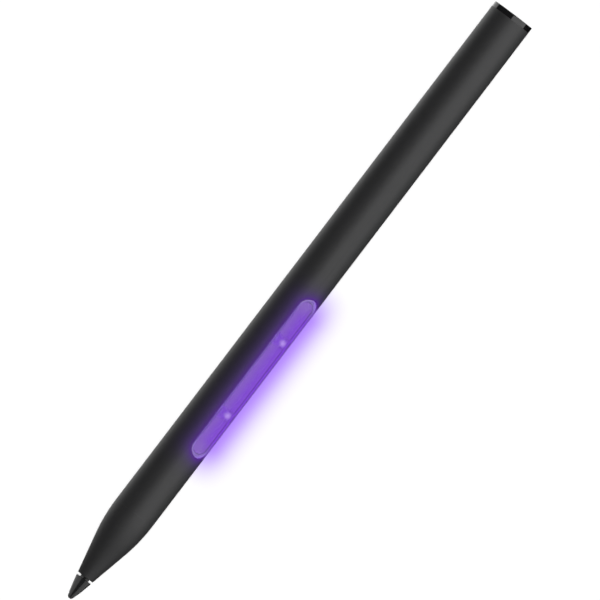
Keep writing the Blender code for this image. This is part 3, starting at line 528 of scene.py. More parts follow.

# %% [markdown]
# ## The barrel's finish
#
# The barrel is a drawn tube, blasted with fine beads and dyed black, so it is matte with a soft sheen. The lamp
# inside lights the barrel's skin round the window. That glow is part of the look from every side, so the finish
# paints it on as emission, worked out from the distance to the window: bright at the edge, and fading over a few
# millimetres. A purple light could do the same, but it would also wash over the table and need many samples.

# %% Mix the barrel's finish
GLOW = (0.27, 0.0, 1.0)
GLOW_REACH = 1.15 * MM
GLOW_STRENGTH = 0.215
GLOW_DULLS = 0.18  # how much rougher the skin looks where it glows
LOWER_GLOW = (0.20, 0.074, 0.565)
LOWER_FADE = (-WINDOW_HALF_WIDTH, -WINDOW_HALF_WIDTH + 0.3 * MM)
BESIDE_FADE = (1.2 * MM, 2.4 * MM)  # past the window's straight part
SLOT_GLOW = (0.14, 0.07, 0.33)
SLOT_FADE = (0.02 * MM, 0.09 * MM)  # below the barrel's surface
SHELL_DARK = (0.0135, 0.0135, 0.014)
SHELL_LIGHT = (0.0185, 0.0185, 0.019)


def blasted_black(name):
    """The matte black of the nose and the barrel."""
    return grained(name, SHELL_DARK, SHELL_LIGHT, cell=0.09, roughness=0.54, swing=0.03, depth=0.004 * MM)


def barrel_finish():
    """The same black, with the lamp's light painted on as emission round the window and in the lip of its slot."""
    material, tree, shader = blasted_black("barrel_blasted_black")
    plain = shader.inputs["Base Color"].links[0].from_socket
    matte = shader.inputs["Roughness"].links[0].from_socket
    x, y, z = place_of(tree)
    fall = math_node(tree, "EXPONENT", math_node(tree, "DIVIDE", window_distance(tree), -GLOW_REACH))
    beside = fade(tree, past_straight(tree, x), *BESIDE_FADE, 1.0, 0.0)
    below = product(tree, fade(tree, y, *LOWER_FADE, 1.0, 0.0), beside)
    upper = mix_colour(tree, product(tree, fall, GLOW_STRENGTH), BLACK, GLOW)
    light = mix_colour(tree, below, upper, mix_colour(tree, fall, BLACK, LOWER_GLOW))
    depth = math_node(tree, "SUBTRACT", RADIUS, hypotenuse(tree, y, z))
    in_slot = product(tree, ramp(tree, depth, *SLOT_FADE, 0.0, beside), fall)
    shine(tree, shader, mix_colour(tree, in_slot, light, SLOT_GLOW))
    # Where the painted glow is strong, the skin turns rougher and its base colour fades to black.
    gloss = math_node(tree, "MULTIPLY_ADD", fall, GLOW_DULLS, matte)
    feed(tree, shader, Base_Color=mix_colour(tree, fall, plain, BLACK), Roughness=gloss)
    return material


print(f"the barrel's glow drops to a third every {GLOW_REACH * math.log(3) / MM:.2f} mm")

# %% [markdown]
# ## The barrel
#
# On the real pen this is one tube with a long slot for the lamp and a short one for the key on the far
# side. A flat prism would cut the slots with knife edges. Here each cutter is lofted: its wall flares at
# the top in a small arc that follows the tube's curve, so the Boolean leaves a rolled lip of even width
# all round the slot.

# %% Build the barrel
WALL = 0.6 * MM
LIP = 0.10 * MM
SEAM = 0.006 * MM  # what is left of the joint lines between two shells
SEAT = 0.05 * MM
KEY_LIP = 0.5 * MM
CUTTER_FOOT = RADIUS / 4
CUTTER_TOP = RADIUS * 1.2
key_low, key_high = pen_box("side_key")
KEY_CENTRE = (key_low.x + key_high.x) / 2
SLOT_HALF_LENGTH = (key_high.x - key_low.x) / 2 - KEY_LIP
SLOT_HALF_WIDTH = key_high.y - KEY_LIP
barrel_low, barrel_high = pen_box("barrel")
NOSE_REAR = barrel_low.x - SEAT
CAP_FACE = barrel_high.x + SEAT


def slot_cutter(centre, half_length, half_width, side):
    """A slot's cutter, flared in an arc where it leaves the barrel."""

    def outline(grown):
        return stadium(centre, half_length + grown, half_width + grown)

    rings = [flat(outline(0), side * CUTTER_FOOT)]
    rings += [on_round(outline(grown), RADIUS - sunk, side) for grown, sunk in rolled_edge(LIP)]
    return loft(rings + [on_round(outline(LIP), CUTTER_TOP, side)])


bore = RADIUS - WALL
front = NOSE_REAR + SEAM
rear = CAP_FACE - SEAM
tube = turned([(front, bore), (front, RADIUS), (rear, RADIUS), (rear, bore)], hollow=True)
window_cutter = slot_cutter(WINDOW_CENTRE, WINDOW_HALF_LENGTH, WINDOW_HALF_WIDTH, 1)
key_cutter = slot_cutter(KEY_CENTRE, SLOT_HALF_LENGTH, SLOT_HALF_WIDTH, -1)
tube = combine(tube, "DIFFERENCE", [window_cutter, key_cutter])
add_piece("barrel_shell", tube, barrel_finish(), "barrel")

# %% [markdown]
# ## The nose
#
# The nose is a moulded cone that swells in one long arc until it is level with the barrel, so the pen's
# outline has no kink. It could be a subdivided cone, but a turned profile gives the arc exactly: the
# slope where the straight cone meets the arc is worked out so that the two are tangent. Its inside is stepped
# for the bush, the ring and the sensor's cup that it holds.

# %% Build the nose
NOSE_FRONT_RADIUS = 1.93 * MM
NOSE_FACE_RADIUS = NOSE_FRONT_RADIUS - 0.02 * MM
NOSE_BLEND_RADIUS = 38 * MM
NOSE_EDGE = 0.10 * MM
NOSE_STEPS = 32
NECK_RADIUS = 1.04 * MM
SLIDE = 0.10 * MM
FIT = 0.05 * MM
NOSE_BORE = NECK_RADIUS + SLIDE
nose_low, nose_high = pen_box("nose_cone")
bush_low, bush_high = pen_box("guide_bush")
ring_high = pen_box("tilt_ring")[1]
cup_high = pen_box("sensor_cup")[1]


def nose_side():
    """The cone and the arc that runs level into the barrel."""
    start = Vector((nose_low.x + NOSE_EDGE, NOSE_FRONT_RADIUS))
    centre = Vector((NOSE_REAR, RADIUS - NOSE_BLEND_RADIUS))
    away = centre - start
    slope = math.atan2(away.y, away.x) + math.asin(NOSE_BLEND_RADIUS / away.length)
    points = [start]
    for step in range(NOSE_STEPS + 1):
        angle = slope * (1 - step / NOSE_STEPS)
        along = Vector((-math.sin(angle), math.cos(angle)))
        points.append(centre + along * NOSE_BLEND_RADIUS)
    return points


nose_inside = [
    (NOSE_REAR, bore - FIT),
    (nose_high.x, bore - FIT),
    (nose_high.x, cup_high.y + FIT),
    (ring_high.x, cup_high.y + FIT),
    (ring_high.x, bush_high.y + FIT),
    (bush_low.x - FIT, bush_high.y + FIT),
    (bush_low.x - FIT, NOSE_BORE),
    (nose_low.x, NOSE_BORE),
]
front_corners = [nose_inside[-1], (nose_low.x, NOSE_FACE_RADIUS), nose_side()[0]]
front_edge = eased(front_corners, NOSE_EDGE)[1:-1]
nose_profile = front_edge + nose_side() + [Vector(point) for point in nose_inside]
nose_finish = blasted_black("nose_fine_black")[0]
add_piece("nose_shell", turned(nose_profile, hollow=True), nose_finish, "nose_cone")

# %% [markdown]
# ## The nib
#
# The nib is the part that wears, so it pulls out: a hard plastic point on a thinner neck, with a pin
# that plugs into the plunger. Its side is a very slightly bulging cone between the ball at the tip and the
# shoulder. It is turned from one profile as well; the shoulder and the neck keep crisp edges that are only
# just broken. A plain cone would do from afar, but its flat side would mirror the cards as hard stripes.

# %% Draw the nib's side
NIB_LENGTH = 5.02 * MM
TIP_RADIUS = 0.67 * MM
SHOULDER_RADIUS = 1.81 * MM
SIDE_BULGE = 0.07 * MM
BALL_STEPS = 14
SIDE_STEPS = 16


def nib_side():
    """The ball, then the bulging side as far as the shoulder."""
    reach = NIB_LENGTH - TIP_RADIUS
    to_shoulder = math.hypot(reach, SHOULDER_RADIUS)
    lean = math.atan2(SHOULDER_RADIUS, reach) - math.asin(TIP_RADIUS / to_shoulder)
    swing = math.pi / 2 - lean
    points = []
    for step in range(BALL_STEPS + 1):
        angle = swing * step / BALL_STEPS
        points.append(Vector((TIP_RADIUS * (1 - math.cos(angle)), TIP_RADIUS * math.sin(angle))))
    start = points[-1]
    end = Vector((NIB_LENGTH, SHOULDER_RADIUS))
    outward = Vector((start.y - end.y, end.x - start.x)).normalized()
    for step in range(1, SIDE_STEPS + 1):
        share = step / SIDE_STEPS
        points.append(start.lerp(end, share) + outward * SIDE_BULGE * math.sin(math.pi * share))
    return points


print(f"the nib's side has {len(nib_side())} points")

# %% [markdown]
# ### The nib's back and its finish
#
# Hard plastic is glossy, but writing rubs the point dull, so the roughness rises towards the tip, with faint
# scuffs along the nib. The dull patch could be a second material, but that would leave a border line.

# %% Build the nib
NECK_LENGTH = 3.6 * MM
PIN_RADIUS = 0.62 * MM
NIB_BREAK = 0.05 * MM
NIB_ROUND = 96
NIB_DARK = (0.0085, 0.0085, 0.009)
NIB_LIGHT = (0.012, 0.012, 0.0125)
NIB_ROUGHNESS = 0.2
WORN_ROUGHNESS = 0.45
WORN_FADE = (0.2 * MM, 1.4 * MM)
SCUFF = 0.03
SCUFF_CELL = 0.1
SCUFF_STRETCH = (0.2, 1, 1)


def nib_finish():
    """Hard dark plastic, rubbed a little rougher at the point."""
    look = {"cell": 0.12, "roughness": NIB_ROUGHNESS, "swing": SCUFF, "depth": 0.0015 * MM}
    material, tree, shader = grained("nib_hard_plastic", NIB_DARK, NIB_LIGHT, **look)
    worn = fade(tree, place_of(tree)[0], *WORN_FADE, WORN_ROUGHNESS, NIB_ROUGHNESS)
    scuffs = ramp(tree, grain(tree, SCUFF_CELL, SCUFF_STRETCH), *NOISE_SPAN, -SCUFF, SCUFF)
    feed(tree, shader, Roughness=math_node(tree, "ADD", worn, scuffs))
    return material


neck_end = NIB_LENGTH + NECK_LENGTH
pin_end = pen_box("nib")[1].x
nib_back = [
    nib_side()[-1],
    (NIB_LENGTH, NECK_RADIUS),
    (neck_end, NECK_RADIUS),
    (neck_end, PIN_RADIUS),
    (pin_end, PIN_RADIUS),
    (pin_end, 0),
]
nib_profile = nib_side()[:-2] + eased(nib_side()[-2:-1] + nib_back, NIB_BREAK)
add_piece("nib_point", turned(nib_profile, steps=NIB_ROUND), nib_finish(), "nib", "nib")

# %% [markdown]
# ## The lens
#
# The window is a clear moulded bar, flush with the tube. Its crown has to be part of the same cylinder as the
# barrel, or the pen's outline would show a step. Below a ledge all round, the bar narrows to a foot, which
# rests on a soft seal. The lens could be a thin cover, but then it would hardly bend the view of the pieces
# below it, and the window would look painted on.

# %% Draw the lens
LENS_EASE = 0.14 * MM
LENS_FOOT = 0.05 * MM
LEDGE_HALF = 1.58 * MM
LEDGE_LEVEL = 3.56 * MM
CROWN_RINGS = 10
LENS_HALF_LENGTH = WINDOW_HALF_LENGTH - LENS_CLEARANCE
LENS_HALF_WIDTH = WINDOW_HALF_WIDTH - LENS_CLEARANCE


def window_outline(set_in):
    return stadium(WINDOW_CENTRE, LENS_HALF_LENGTH - set_in, LENS_HALF_WIDTH - set_in)


def framed(half_width):
    """An outline inside the window's, set in as far at its ends as at its sides."""
    return stadium(WINDOW_CENTRE, STRAIGHT_HALF + half_width, half_width)


def lens_skin():
    """The foot, the ledge, and then the crown."""
    foot = [
        (LEDGE_HALF - LENS_FOOT, lens_low.z),
        (LEDGE_HALF, lens_low.z + LENS_FOOT),
        (LEDGE_HALF, LEDGE_LEVEL),
    ]
    rings = [flat(framed(half), level) for half, level in foot]
    rings.append(flat(window_outline(0), LEDGE_LEVEL))
    return loft(rings + crowned(window_outline, LENS_EASE, LENS_HALF_WIDTH, RADIUS, CROWN_RINGS))


print(f"lens {2 * LENS_HALF_LENGTH / MM:.1f} mm long, its ledge {LEDGE_LEVEL / MM:.2f} mm off the axis")

# %% [markdown]
# ### The lens's finish
#
# The plastic is clear with a touch of violet. Where each lamp shines through the crown there is a soft white
# spot, and along its upper rim the plastic carries light to its edge. Both are painted as emission, because
# traced light would be noisy here. The spots are on outer faces only, so that no inner one mirrors them.

# %% Finish the lens
SPOT_RADIUS = 1.1 * MM
SPOT_SHAPE = 0.8
SPOT_SHIFT = 0.05 * MM
SPOT_PULL = 0.08 * MM  # the lens draws the spots together
SPOT_LIGHT = (0.25, 0.225, 0.20)
SPOT_LEVELS = (RADIUS - 0.5 * MM, RADIUS - 0.2 * MM)
RIM_GLOW = (0.082, 0.047, 0.2)
RIM_END_GLOW = (0.10, 0.065, 0.17)
RIM_FADE = (LENS_HALF_WIDTH - 0.30 * MM, LENS_HALF_WIDTH - 0.05 * MM)
RIM_SIDE_FADE = (-0.2 * MM, 1.2 * MM)
RIM_END_FADE = (0.0, 1.2 * MM)
HAZE_CELL = 0.4
HAZE_TINTS = [(0.95, 0.93, 0.99), (0.98, 0.97, 1.0)]
rear_low, rear_high = pen_box("lamp_led_rear")
LED_OFFSET = (rear_low.x + rear_high.x) / 2 - WINDOW_CENTRE


def spot(tree, x, y, where, radius):
    """A soft spot above a lamp, a little wider across the pen, 1 in its middle and 0 past its radius."""
    off_x = math_node(tree, "SUBTRACT", x, where)
    off_y = math_node(tree, "MULTIPLY_ADD", y, SPOT_SHAPE, SPOT_SHIFT)
    return fade(tree, hypotenuse(tree, off_x, off_y), 0.0, radius, 1.0, 0.0)


def lens_finish():
    """Clear violet plastic with a soft white spot above each lamp and a lit upper rim."""
    material, tree, shader = new_finish("lens_clear_violet", roughness=0.03)
    x, y, z = place_of(tree)
    places = [WINDOW_CENTRE + side * (LED_OFFSET - SPOT_PULL) for side in (-1, 1)]
    spots = math_node(tree, "ADD", *[spot(tree, x, y, where, SPOT_RADIUS) for where in places])
    outside = math_node(tree, "SUBTRACT", 1.0, add(tree, "NewGeometry", output="Backfacing"))
    lit = product(tree, spots, ramp(tree, z, *SPOT_LEVELS), outside)
    near_rim = fade(tree, off_middle(tree, x, y), *RIM_FADE)
    upper_rim = product(tree, near_rim, fade(tree, y, *RIM_SIDE_FADE))
    at_end = fade(tree, past_straight(tree, x), *RIM_END_FADE)
    light = mix_colour(tree, upper_rim, BLACK, mix_colour(tree, at_end, RIM_GLOW, RIM_END_GLOW))
    shine(tree, shader, mix_colour(tree, lit, light, SPOT_LIGHT))
    tint = mix_colour(tree, grain(tree, HAZE_CELL), *HAZE_TINTS)
    feed(tree, shader, Base_Color=tint, Transmission_Weight=1.0, IOR=1.45)
    feed(tree, shader, Specular_Tint=(0.06, 0.06, 0.06, 1), Coat_Weight=0.3, Coat_Roughness=0.35)
    return material


add_piece("lens_crown", lens_skin(), lens_finish(), "lamp_lens")

# %% [markdown]
# ## What glows behind the lens
#
# Behind the window lie a soft seal, a bond, a white reflector tray with a cup round each lamp, and two lamp
# packages on their board. The camera sees all of them through the lens, so they give the window its depth.
# They glow by emission instead of by light from the lamps, because light that has to find its way out through a
# lens is very noisy to trace. One function holds the painted glow that they share: violet below, greyer above,
# paler at the window's ends and deepest in a pocket round each lamp.

# %% Write the recipe for the glow
tray_low, tray_high = pen_box("lamp_tray")
TRAY_FLOOR = tray_low.z + 0.5 * MM
# Base tones of the glowing pieces, kept far darker than their pale plastic so that the painted glow carries their
# look.
LIT_DARK = (0.10, 0.09, 0.12)
LIT_LIGHT = tuple(1.2 * share for share in LIT_DARK)
VIOLET = (0.193, 0.053, 0.565)
VIOLET_PALE = (0.216, 0.095, 0.515)
VIOLET_END = (0.222, 0.108, 0.487)
VIOLET_HIGH = (0.232, 0.078, 0.63)
# A deeper violet of painted light round each lamp.
POCKET_GLOW = (0.17, 0.03, 0.6)
POCKET_GLOW_RADIUS = 1.9 * MM
ACROSS_FADE = (-1.45 * MM, -0.75 * MM)
WALL_FADE = (TRAY_FLOOR, tray_high.z - 0.2 * MM)
ENDS_FADE = (-2.7 * MM, 0.9 * MM)
LAMP_PLACES = {"front": WINDOW_CENTRE - LED_OFFSET, "rear": WINDOW_CENTRE + LED_OFFSET}


def glowing(name, lower, upper, end, roughness, lit_wall=False, pocket_glows=True):
    """A pale plastic with the lamps' light painted on as emission: one violet below, a greyer one above and one at
    the ends.
    """
    look = {"cell": 0.3, "roughness": roughness, "swing": 0.05, "depth": 0.003 * MM}
    material, tree, shader = grained(name, LIT_DARK, LIT_LIGHT, **look)
    x, y, z = place_of(tree)
    light = mix_colour(tree, ramp(tree, y, *ACROSS_FADE), lower, upper)
    if lit_wall:
        light = mix_colour(tree, fade(tree, z, *WALL_FADE), light, VIOLET_HIGH)
    light = mix_colour(tree, fade(tree, past_straight(tree, x), *ENDS_FADE), light, end)
    if pocket_glows:
        for where in LAMP_PLACES.values():
            light = mix_colour(tree, spot(tree, x, y, where, POCKET_GLOW_RADIUS), light, POCKET_GLOW)
    shine(tree, shader, light)
    feed(tree, shader, Specular_IOR_Level=0.1)
    return material, tree, shader


print("lamps at", [round(where / MM, 2) for where in LAMP_PLACES.values()], "mm from the tip")

# %% [markdown]
# ### The seal
#
# The seal is a thin frame of pale silicone between the lens's foot and the tray. A flat ring would be
# enough to fill the gap, but its edge can be seen through the lens, so its corners are rolled. It is a loft
# as well: each point of its cross-section becomes a ring of the window's outline, and the last ring is
# joined to the first.

# %% Build the seal
TRAY_HALF = tray_high.y
OPENING_HALF = TRAY_HALF - 0.42 * MM
SEAL_EASE = 0.1 * MM
# Violet light painted on the seal as emission: below, above and at the window's ends.
SEAL_PAINTED_GLOWS = [(0.19, 0.07, 0.54), (0.17, 0.09, 0.40), (0.18, 0.11, 0.38)]
seal_low, seal_high = pen_box("lens_gasket")


def framed_skin(section, ease, loop=True):
    """A skin whose cross-section is a list of (half width, level) corners, rolled off by this radius."""
    return loft([flat(framed(half), level) for half, level in eased(section, ease, loop=loop)], loop)


def bar_section(outer, inner, low, high):
    return [(outer, low), (outer, high), (inner, high), (inner, low)]


seal = framed_skin(bar_section(TRAY_HALF, OPENING_HALF, seal_low.z, seal_high.z), SEAL_EASE)
seal_glow = glowing("seal_pale_silicone", *SEAL_PAINTED_GLOWS, roughness=0.5)[0]
add_piece("lens_seal", seal, seal_glow, "lens_gasket")

# %% [markdown]
# ### The bond
#
# A bead of pale bond fills the space under the lens's ledge. Through the lens its two edges are the double line
# round the window: a painted shade line along the inner one, which breaks off at the lamps, and a painted
# highlight along the rim with a notch of painted shade beside each lamp. The lines could be thin meshes, but they
# would be finer than a pixel and flicker. Painted into the bond's glow they stay soft.

# %% Build the bond
BOND_INNER = LEDGE_HALF + 0.03 * MM
BOND_OUTER = 2.38 * MM
BOND_EASE = 0.01 * MM
BOND_LOW = seal_high.z + 0.01 * MM
BOND_TOP = LEDGE_LEVEL - 0.006 * MM
BOND_PAINTED_GLOWS = [(0.222, 0.064, 0.66), (0.12, 0.058, 0.285), (0.215, 0.13, 0.46)]
# The darker line is painted shade, the paler rim a painted highlight with painted shade beside each lamp, and the
# lower ends a brighter painted glow.
LINE_PLACE = BOND_INNER + 0.03 * MM
LINE_HALF = 0.22 * MM  # half the breadth of the darker line along the bond's inner edge
LINE_SIDES = (-1.0 * MM, 1.0 * MM)
LINE_SHADES = (0.55, 0.93)  # how much of its glow the line keeps on the lower and on the upper side
LINE_BREAK = (1.2 * MM, 1.5 * MM)  # from a lamp
NOTCH_SHADE = 0.6  # how much darker the bond's outer edge is beside a lamp
NOTCH_FADE = (0.7 * MM, 1.1 * MM)  # from a lamp
NOTCH_EDGE = (BOND_OUTER - 0.28 * MM, BOND_OUTER - 0.1 * MM)
RIM_HIGHLIGHT = 0.25  # how much brighter the bond's outer edge is
RIM_SIDES = (0.0, 1.5 * MM)
RIM_EDGE = (BOND_OUTER - 0.35 * MM, BOND_OUTER - 0.1 * MM)
END_GAIN = 0.35  # how much brighter the bond is on the lower side of the window's ends
END_SIDES = (-1.3 * MM, -0.6 * MM)
END_FADE = (-0.2 * MM, 1.2 * MM)


def bond_finish():
    """The bond's painted glow, with a painted shade line along its inner edge, a painted highlight along its rim
    that painted shade breaks beside each lamp, and a brighter painted glow at the lower ends of the window.
    """
    material, tree, shader = glowing("bond_pale_frame", *BOND_PAINTED_GLOWS, roughness=0.3, pocket_glows=False)
    x, y = place_of(tree)[:2]
    from_middle = off_middle(tree, x, y)
    darkest = ramp(tree, y, *LINE_SIDES, *LINE_SHADES)
    notch_shade = 0.0
    for where in LAMP_PLACES.values():
        from_lamp = gap(tree, x, where)
        darkest = ramp(tree, from_lamp, *LINE_BREAK, 1.0, darkest)
        notch_shade = math_node(tree, "ADD", notch_shade, ramp(tree, from_lamp, *NOTCH_FADE, NOTCH_SHADE, 0.0))
    line = fade(tree, gap(tree, from_middle, LINE_PLACE), 0.0, LINE_HALF, darkest, 1.0)
    rim = fade(tree, from_middle, *RIM_EDGE, 0.0, ramp(tree, y, *RIM_SIDES, RIM_HIGHLIGHT, 0.0))
    lower_gain = fade(tree, y, *END_SIDES, END_GAIN, 0.0)
    at_end = fade(tree, past_straight(tree, x), *END_FADE, 0.0, lower_gain)
    strength = math_node(tree, "ADD", math_node(tree, "ADD", line, rim), at_end)
    at_lamp = fade(tree, from_middle, *NOTCH_EDGE, 0.0, notch_shade)
    feed(tree, shader, Emission_Strength=math_node(tree, "SUBTRACT", strength, at_lamp))
    return material


bond = framed_skin(bar_section(BOND_OUTER, BOND_INNER, BOND_LOW, BOND_TOP), BOND_EASE)
add_piece("lens_bond", bond, bond_finish())

# %% [markdown]
# ### The reflector tray
#
# A white trough throws the lamps' light forward, and a flared cup round each lamp gathers what leaves it
# sideways. The trough is lofted from its cross-section like the seal, and two cones cut the cups out of it.
# Where a cup's edge runs up the lower wall, a thin shade shows on the real one, so the finish has it too.

# %% Build the tray
TRAY_EASE = 0.08 * MM
TRAY_FOOT = TRAY_HALF - 0.3 * MM
WALL_FOOT = OPENING_HALF - 0.15 * MM
FLOOR_EDGE = OPENING_HALF - 0.5 * MM
CUP_LOW_RADIUS = 1.5 * MM
CUP_HIGH_RADIUS = 1.95 * MM
CUP_EDGE = 1.15 * MM  # from a lamp along the pen, where a cup's edge meets the lower wall
SHADE = 0.5  # how much of its glow the tray keeps there
SHADE_HALF = 0.15 * MM
SHADE_SIDES = (-1.7 * MM, -1.2 * MM)
tray_section = [
    (TRAY_FOOT, tray_low.z),
    (TRAY_HALF, tray_low.z),
    (TRAY_HALF, tray_high.z),
    (OPENING_HALF, tray_high.z),
    (WALL_FOOT, TRAY_FLOOR),
    (FLOOR_EDGE, TRAY_FLOOR),
]


def cup_cutter(where):
    """A cone that opens towards the lens, a tray's height longer than the tray at either end."""
    height = tray_high.z - tray_low.z
    flare = CUP_HIGH_RADIUS - CUP_LOW_RADIUS
    levels = (tray_low.z - height, tray_high.z + height)
    return cone(where, *levels, CUP_LOW_RADIUS - flare, CUP_HIGH_RADIUS + flare)


def tray_finish():
    """The tray's glow, with a thin shade on its lower wall where each cup's edge runs up it."""
    violets = (VIOLET, VIOLET_PALE, VIOLET_END)
    material, tree, shader = glowing("tray_white_reflector", *violets, roughness=0.4, lit_wall=True)
    x, y = place_of(tree)[:2]
    darkest = ramp(tree, y, *SHADE_SIDES, SHADE, 1.0)
    off_edges = [gap(tree, gap(tree, x, where), CUP_EDGE) for where in LAMP_PLACES.values()]
    shades = [fade(tree, off_edge, 0.0, SHADE_HALF, darkest, 1.0) for off_edge in off_edges]
    feed(tree, shader, Emission_Strength=product(tree, *shades))
    return material


tray = framed_skin(tray_section, TRAY_EASE, loop=False)
tray = combine(tray, "DIFFERENCE", [cup_cutter(where) for where in LAMP_PLACES.values()])
add_piece("reflector_tray", tray, tray_finish(), "lamp_tray")

# %% [markdown]
# ### The two lamps
#
# Each lamp is a square package with round corners and a shallow clear dome. A cube and a ball would meet in a
# hard line. Here the rings change from a square to a circle on the way up, so one skin has both, and the
# finish is a touch brighter in the dome.

# %% Build the two lamps
LAMP_HALF = 1.0 * MM
LAMP_BASE = 0.45 * MM
LAMP_RIM = 0.06 * MM
LAMP_DOME = 0.25 * MM
DOME_RADIUS = 0.72 * MM
DOME_STEPS = 6
DOME_SPOT = 1.2 * MM
DOME_LIGHT = (0.185, 0.066, 0.55)
PACKAGE_LIGHT = (0.18, 0.06, 0.52)
PACKAGE_PALE = (0.13, 0.11, 0.15)
OUTLINE = 48
CIRCLE, SQUARE = 2, 8  # powers that bend one ring formula from round to square


def lamp_ring(where, half, power, level):
    """A ring round a lamp, from a circle to a square with round corners."""
    points = []
    for step in range(OUTLINE):
        angle = math.tau * (step + 0.5) / OUTLINE
        cosine, sine = math.cos(angle), math.sin(angle)
        size = half / (abs(cosine) ** power + abs(sine) ** power) ** (1 / power)
        points.append((where + size * cosine, size * sine, level))
    return points


def lamp_skin(where, low):
    """A square package with an eased rim and a shallow dome on top."""
    top = low + LAMP_BASE
    package = [(LAMP_HALF, low), (LAMP_HALF, top - LAMP_RIM), (LAMP_HALF - LAMP_RIM, top)]
    rings = [lamp_ring(where, half, SQUARE, level) for half, level in package]
    for step in range(DOME_STEPS):
        angle = math.pi / 2 * step / DOME_STEPS
        level = top + LAMP_DOME * math.sin(angle)
        rings.append(lamp_ring(where, DOME_RADIUS * math.cos(angle), CIRCLE, level))
    return loft(rings)


def lamp_finish(where, label):
    """A lit package, a little brighter in its dome than at its rim."""
    look = {"cell": 0.2, "roughness": 0.45, "swing": 0.05, "depth": 0.002 * MM}
    material, tree, shader = grained(f"lamp_package_{label}", LIT_DARK, PACKAGE_PALE, **look)
    x, y = place_of(tree)[:2]
    shine(tree, shader, mix_colour(tree, spot(tree, x, y, where, DOME_SPOT), PACKAGE_LIGHT, DOME_LIGHT))
    return material


for label, where in LAMP_PLACES.items():
    node = f"lamp_led_{label}"
    skin = lamp_skin(where, pen_box(node)[0].z)
    add_piece(f"lamp_{label}", skin, lamp_finish(where, label), node)

# %% [markdown]
# ## The press key
#
# On the side away from the lamp a long key works the switch. It stands a quarter of a millimetre proud, so
# a finger finds it, and a flange inside keeps it from falling out. The rings that made the lens make the key
# too: crown, rolled edge, side, flange. A post joined to its inner face reaches the switch.

# %% Build the key
KEY_PROUD = 0.25 * MM
KEY_EASE = 0.22 * MM
KEY_RINGS = 6
KEY_NUB_RADIUS = 0.8 * MM
KEY_DARK = (0.018, 0.018, 0.019)
KEY_LIGHT = (0.025, 0.025, 0.027)
FLANGE = 0.4 * MM
FLANGE_EASE = 0.05 * MM
CAP_HALF_LENGTH = SLOT_HALF_LENGTH - SLIDE
CAP_HALF_WIDTH = SLOT_HALF_WIDTH - SLIDE
FLANGE_OUTER = -math.sqrt((bore - SLIDE) ** 2 - key_high.y**2)
FLANGE_INNER = FLANGE_OUTER + FLANGE


def key_outline(set_in):
    return stadium(KEY_CENTRE, CAP_HALF_LENGTH - set_in, CAP_HALF_WIDTH - set_in)


def key_skin():
    """The key from its crown inwards, with its post."""
    crown = crowned(key_outline, KEY_EASE, CAP_HALF_WIDTH, RADIUS + KEY_PROUD, KEY_RINGS, -1)
    wide = CAP_HALF_WIDTH - key_high.y
    flange = [
        (0, FLANGE_OUTER),
        (wide + FLANGE_EASE, FLANGE_OUTER),
        (wide, FLANGE_OUTER + FLANGE_EASE),
        (wide, FLANGE_INNER - FLANGE_EASE),
        (wide + FLANGE_EASE, FLANGE_INNER),
    ]
    rings = crown[::-1] + [flat(key_outline(set_in), level) for set_in, level in flange]
    nub = cone(KEY_CENTRE, FLANGE_OUTER + FLANGE / 2, key_high.z, KEY_NUB_RADIUS, KEY_NUB_RADIUS)
    return combine(loft(rings), "UNION", [nub])


key_look = {"cell": 0.15, "roughness": 0.36, "swing": 0.04, "depth": 0.003 * MM}
key_finish = grained("key_satin_black", KEY_DARK, KEY_LIGHT, **key_look)[0]
add_piece("key_cap", key_skin(), key_finish, "side_key", "side_key")

# %% [markdown]
# ## The end plate
#
# A thin polished plate closes the pen. Its side is part of the pen's outline and mirrors the studio like
# black glass. The plate is turned, and then cut: a keyed hole for the charging socket, wide above and
# slanted in below, and room on either side of the tongue on its inner face. The hole could have been drawn by
# itself, but hole and socket share one outline, so they can't drift apart.

# %% Build the end plate
CAP_EASE = 0.12 * MM
CAP_TONGUE_HALF = 3.0 * MM
CAP_DARK = (0.006, 0.006, 0.0065)
CAP_LIGHT = (0.008, 0.008, 0.0085)
CUT_SPARE = 1 * MM  # how far a cutter reaches past what it cuts
JUST_PAST = 0.001 * MM
PORT_CORNER = 0.3 * MM
PORT_SHEET = 0.25 * MM
PORT_FLOOR_HALF = 2.7 * MM
PORT_SIDE_HEIGHT = 0.95 * MM
shell_low, shell_high = pen_box("port_shell")
cap_low, cap_high = pen_box("end_cap")
PORT_HALF = shell_high.y - PORT_SHEET
PORT_TOP = shell_high.z - PORT_SHEET
PEN_END = cap_high.x


def port_outline(grown):
    """The socket's mouth, wide above and slanted in below, with this much added all round."""
    right = [(PORT_HALF, PORT_TOP), (PORT_HALF, PORT_TOP - PORT_SIDE_HEIGHT), (PORT_FLOOR_HALF, -PORT_TOP)]
    left = [(-y, z) for y, z in right[::-1]]
    return eased(right + left, PORT_CORNER, grown, loop=True)


def at(outline, x):
    return [(x, y, z) for y, z in outline]


def side_relief(side):
    """A block that takes away the spigot beside its tongue."""
    length = CAP_FACE - cap_low.x + CUT_SPARE
    centre = (CAP_FACE - length / 2, side * (CAP_TONGUE_HALF + RADIUS), 0)
    return block(centre, (length, 2 * RADIUS, 4 * RADIUS))


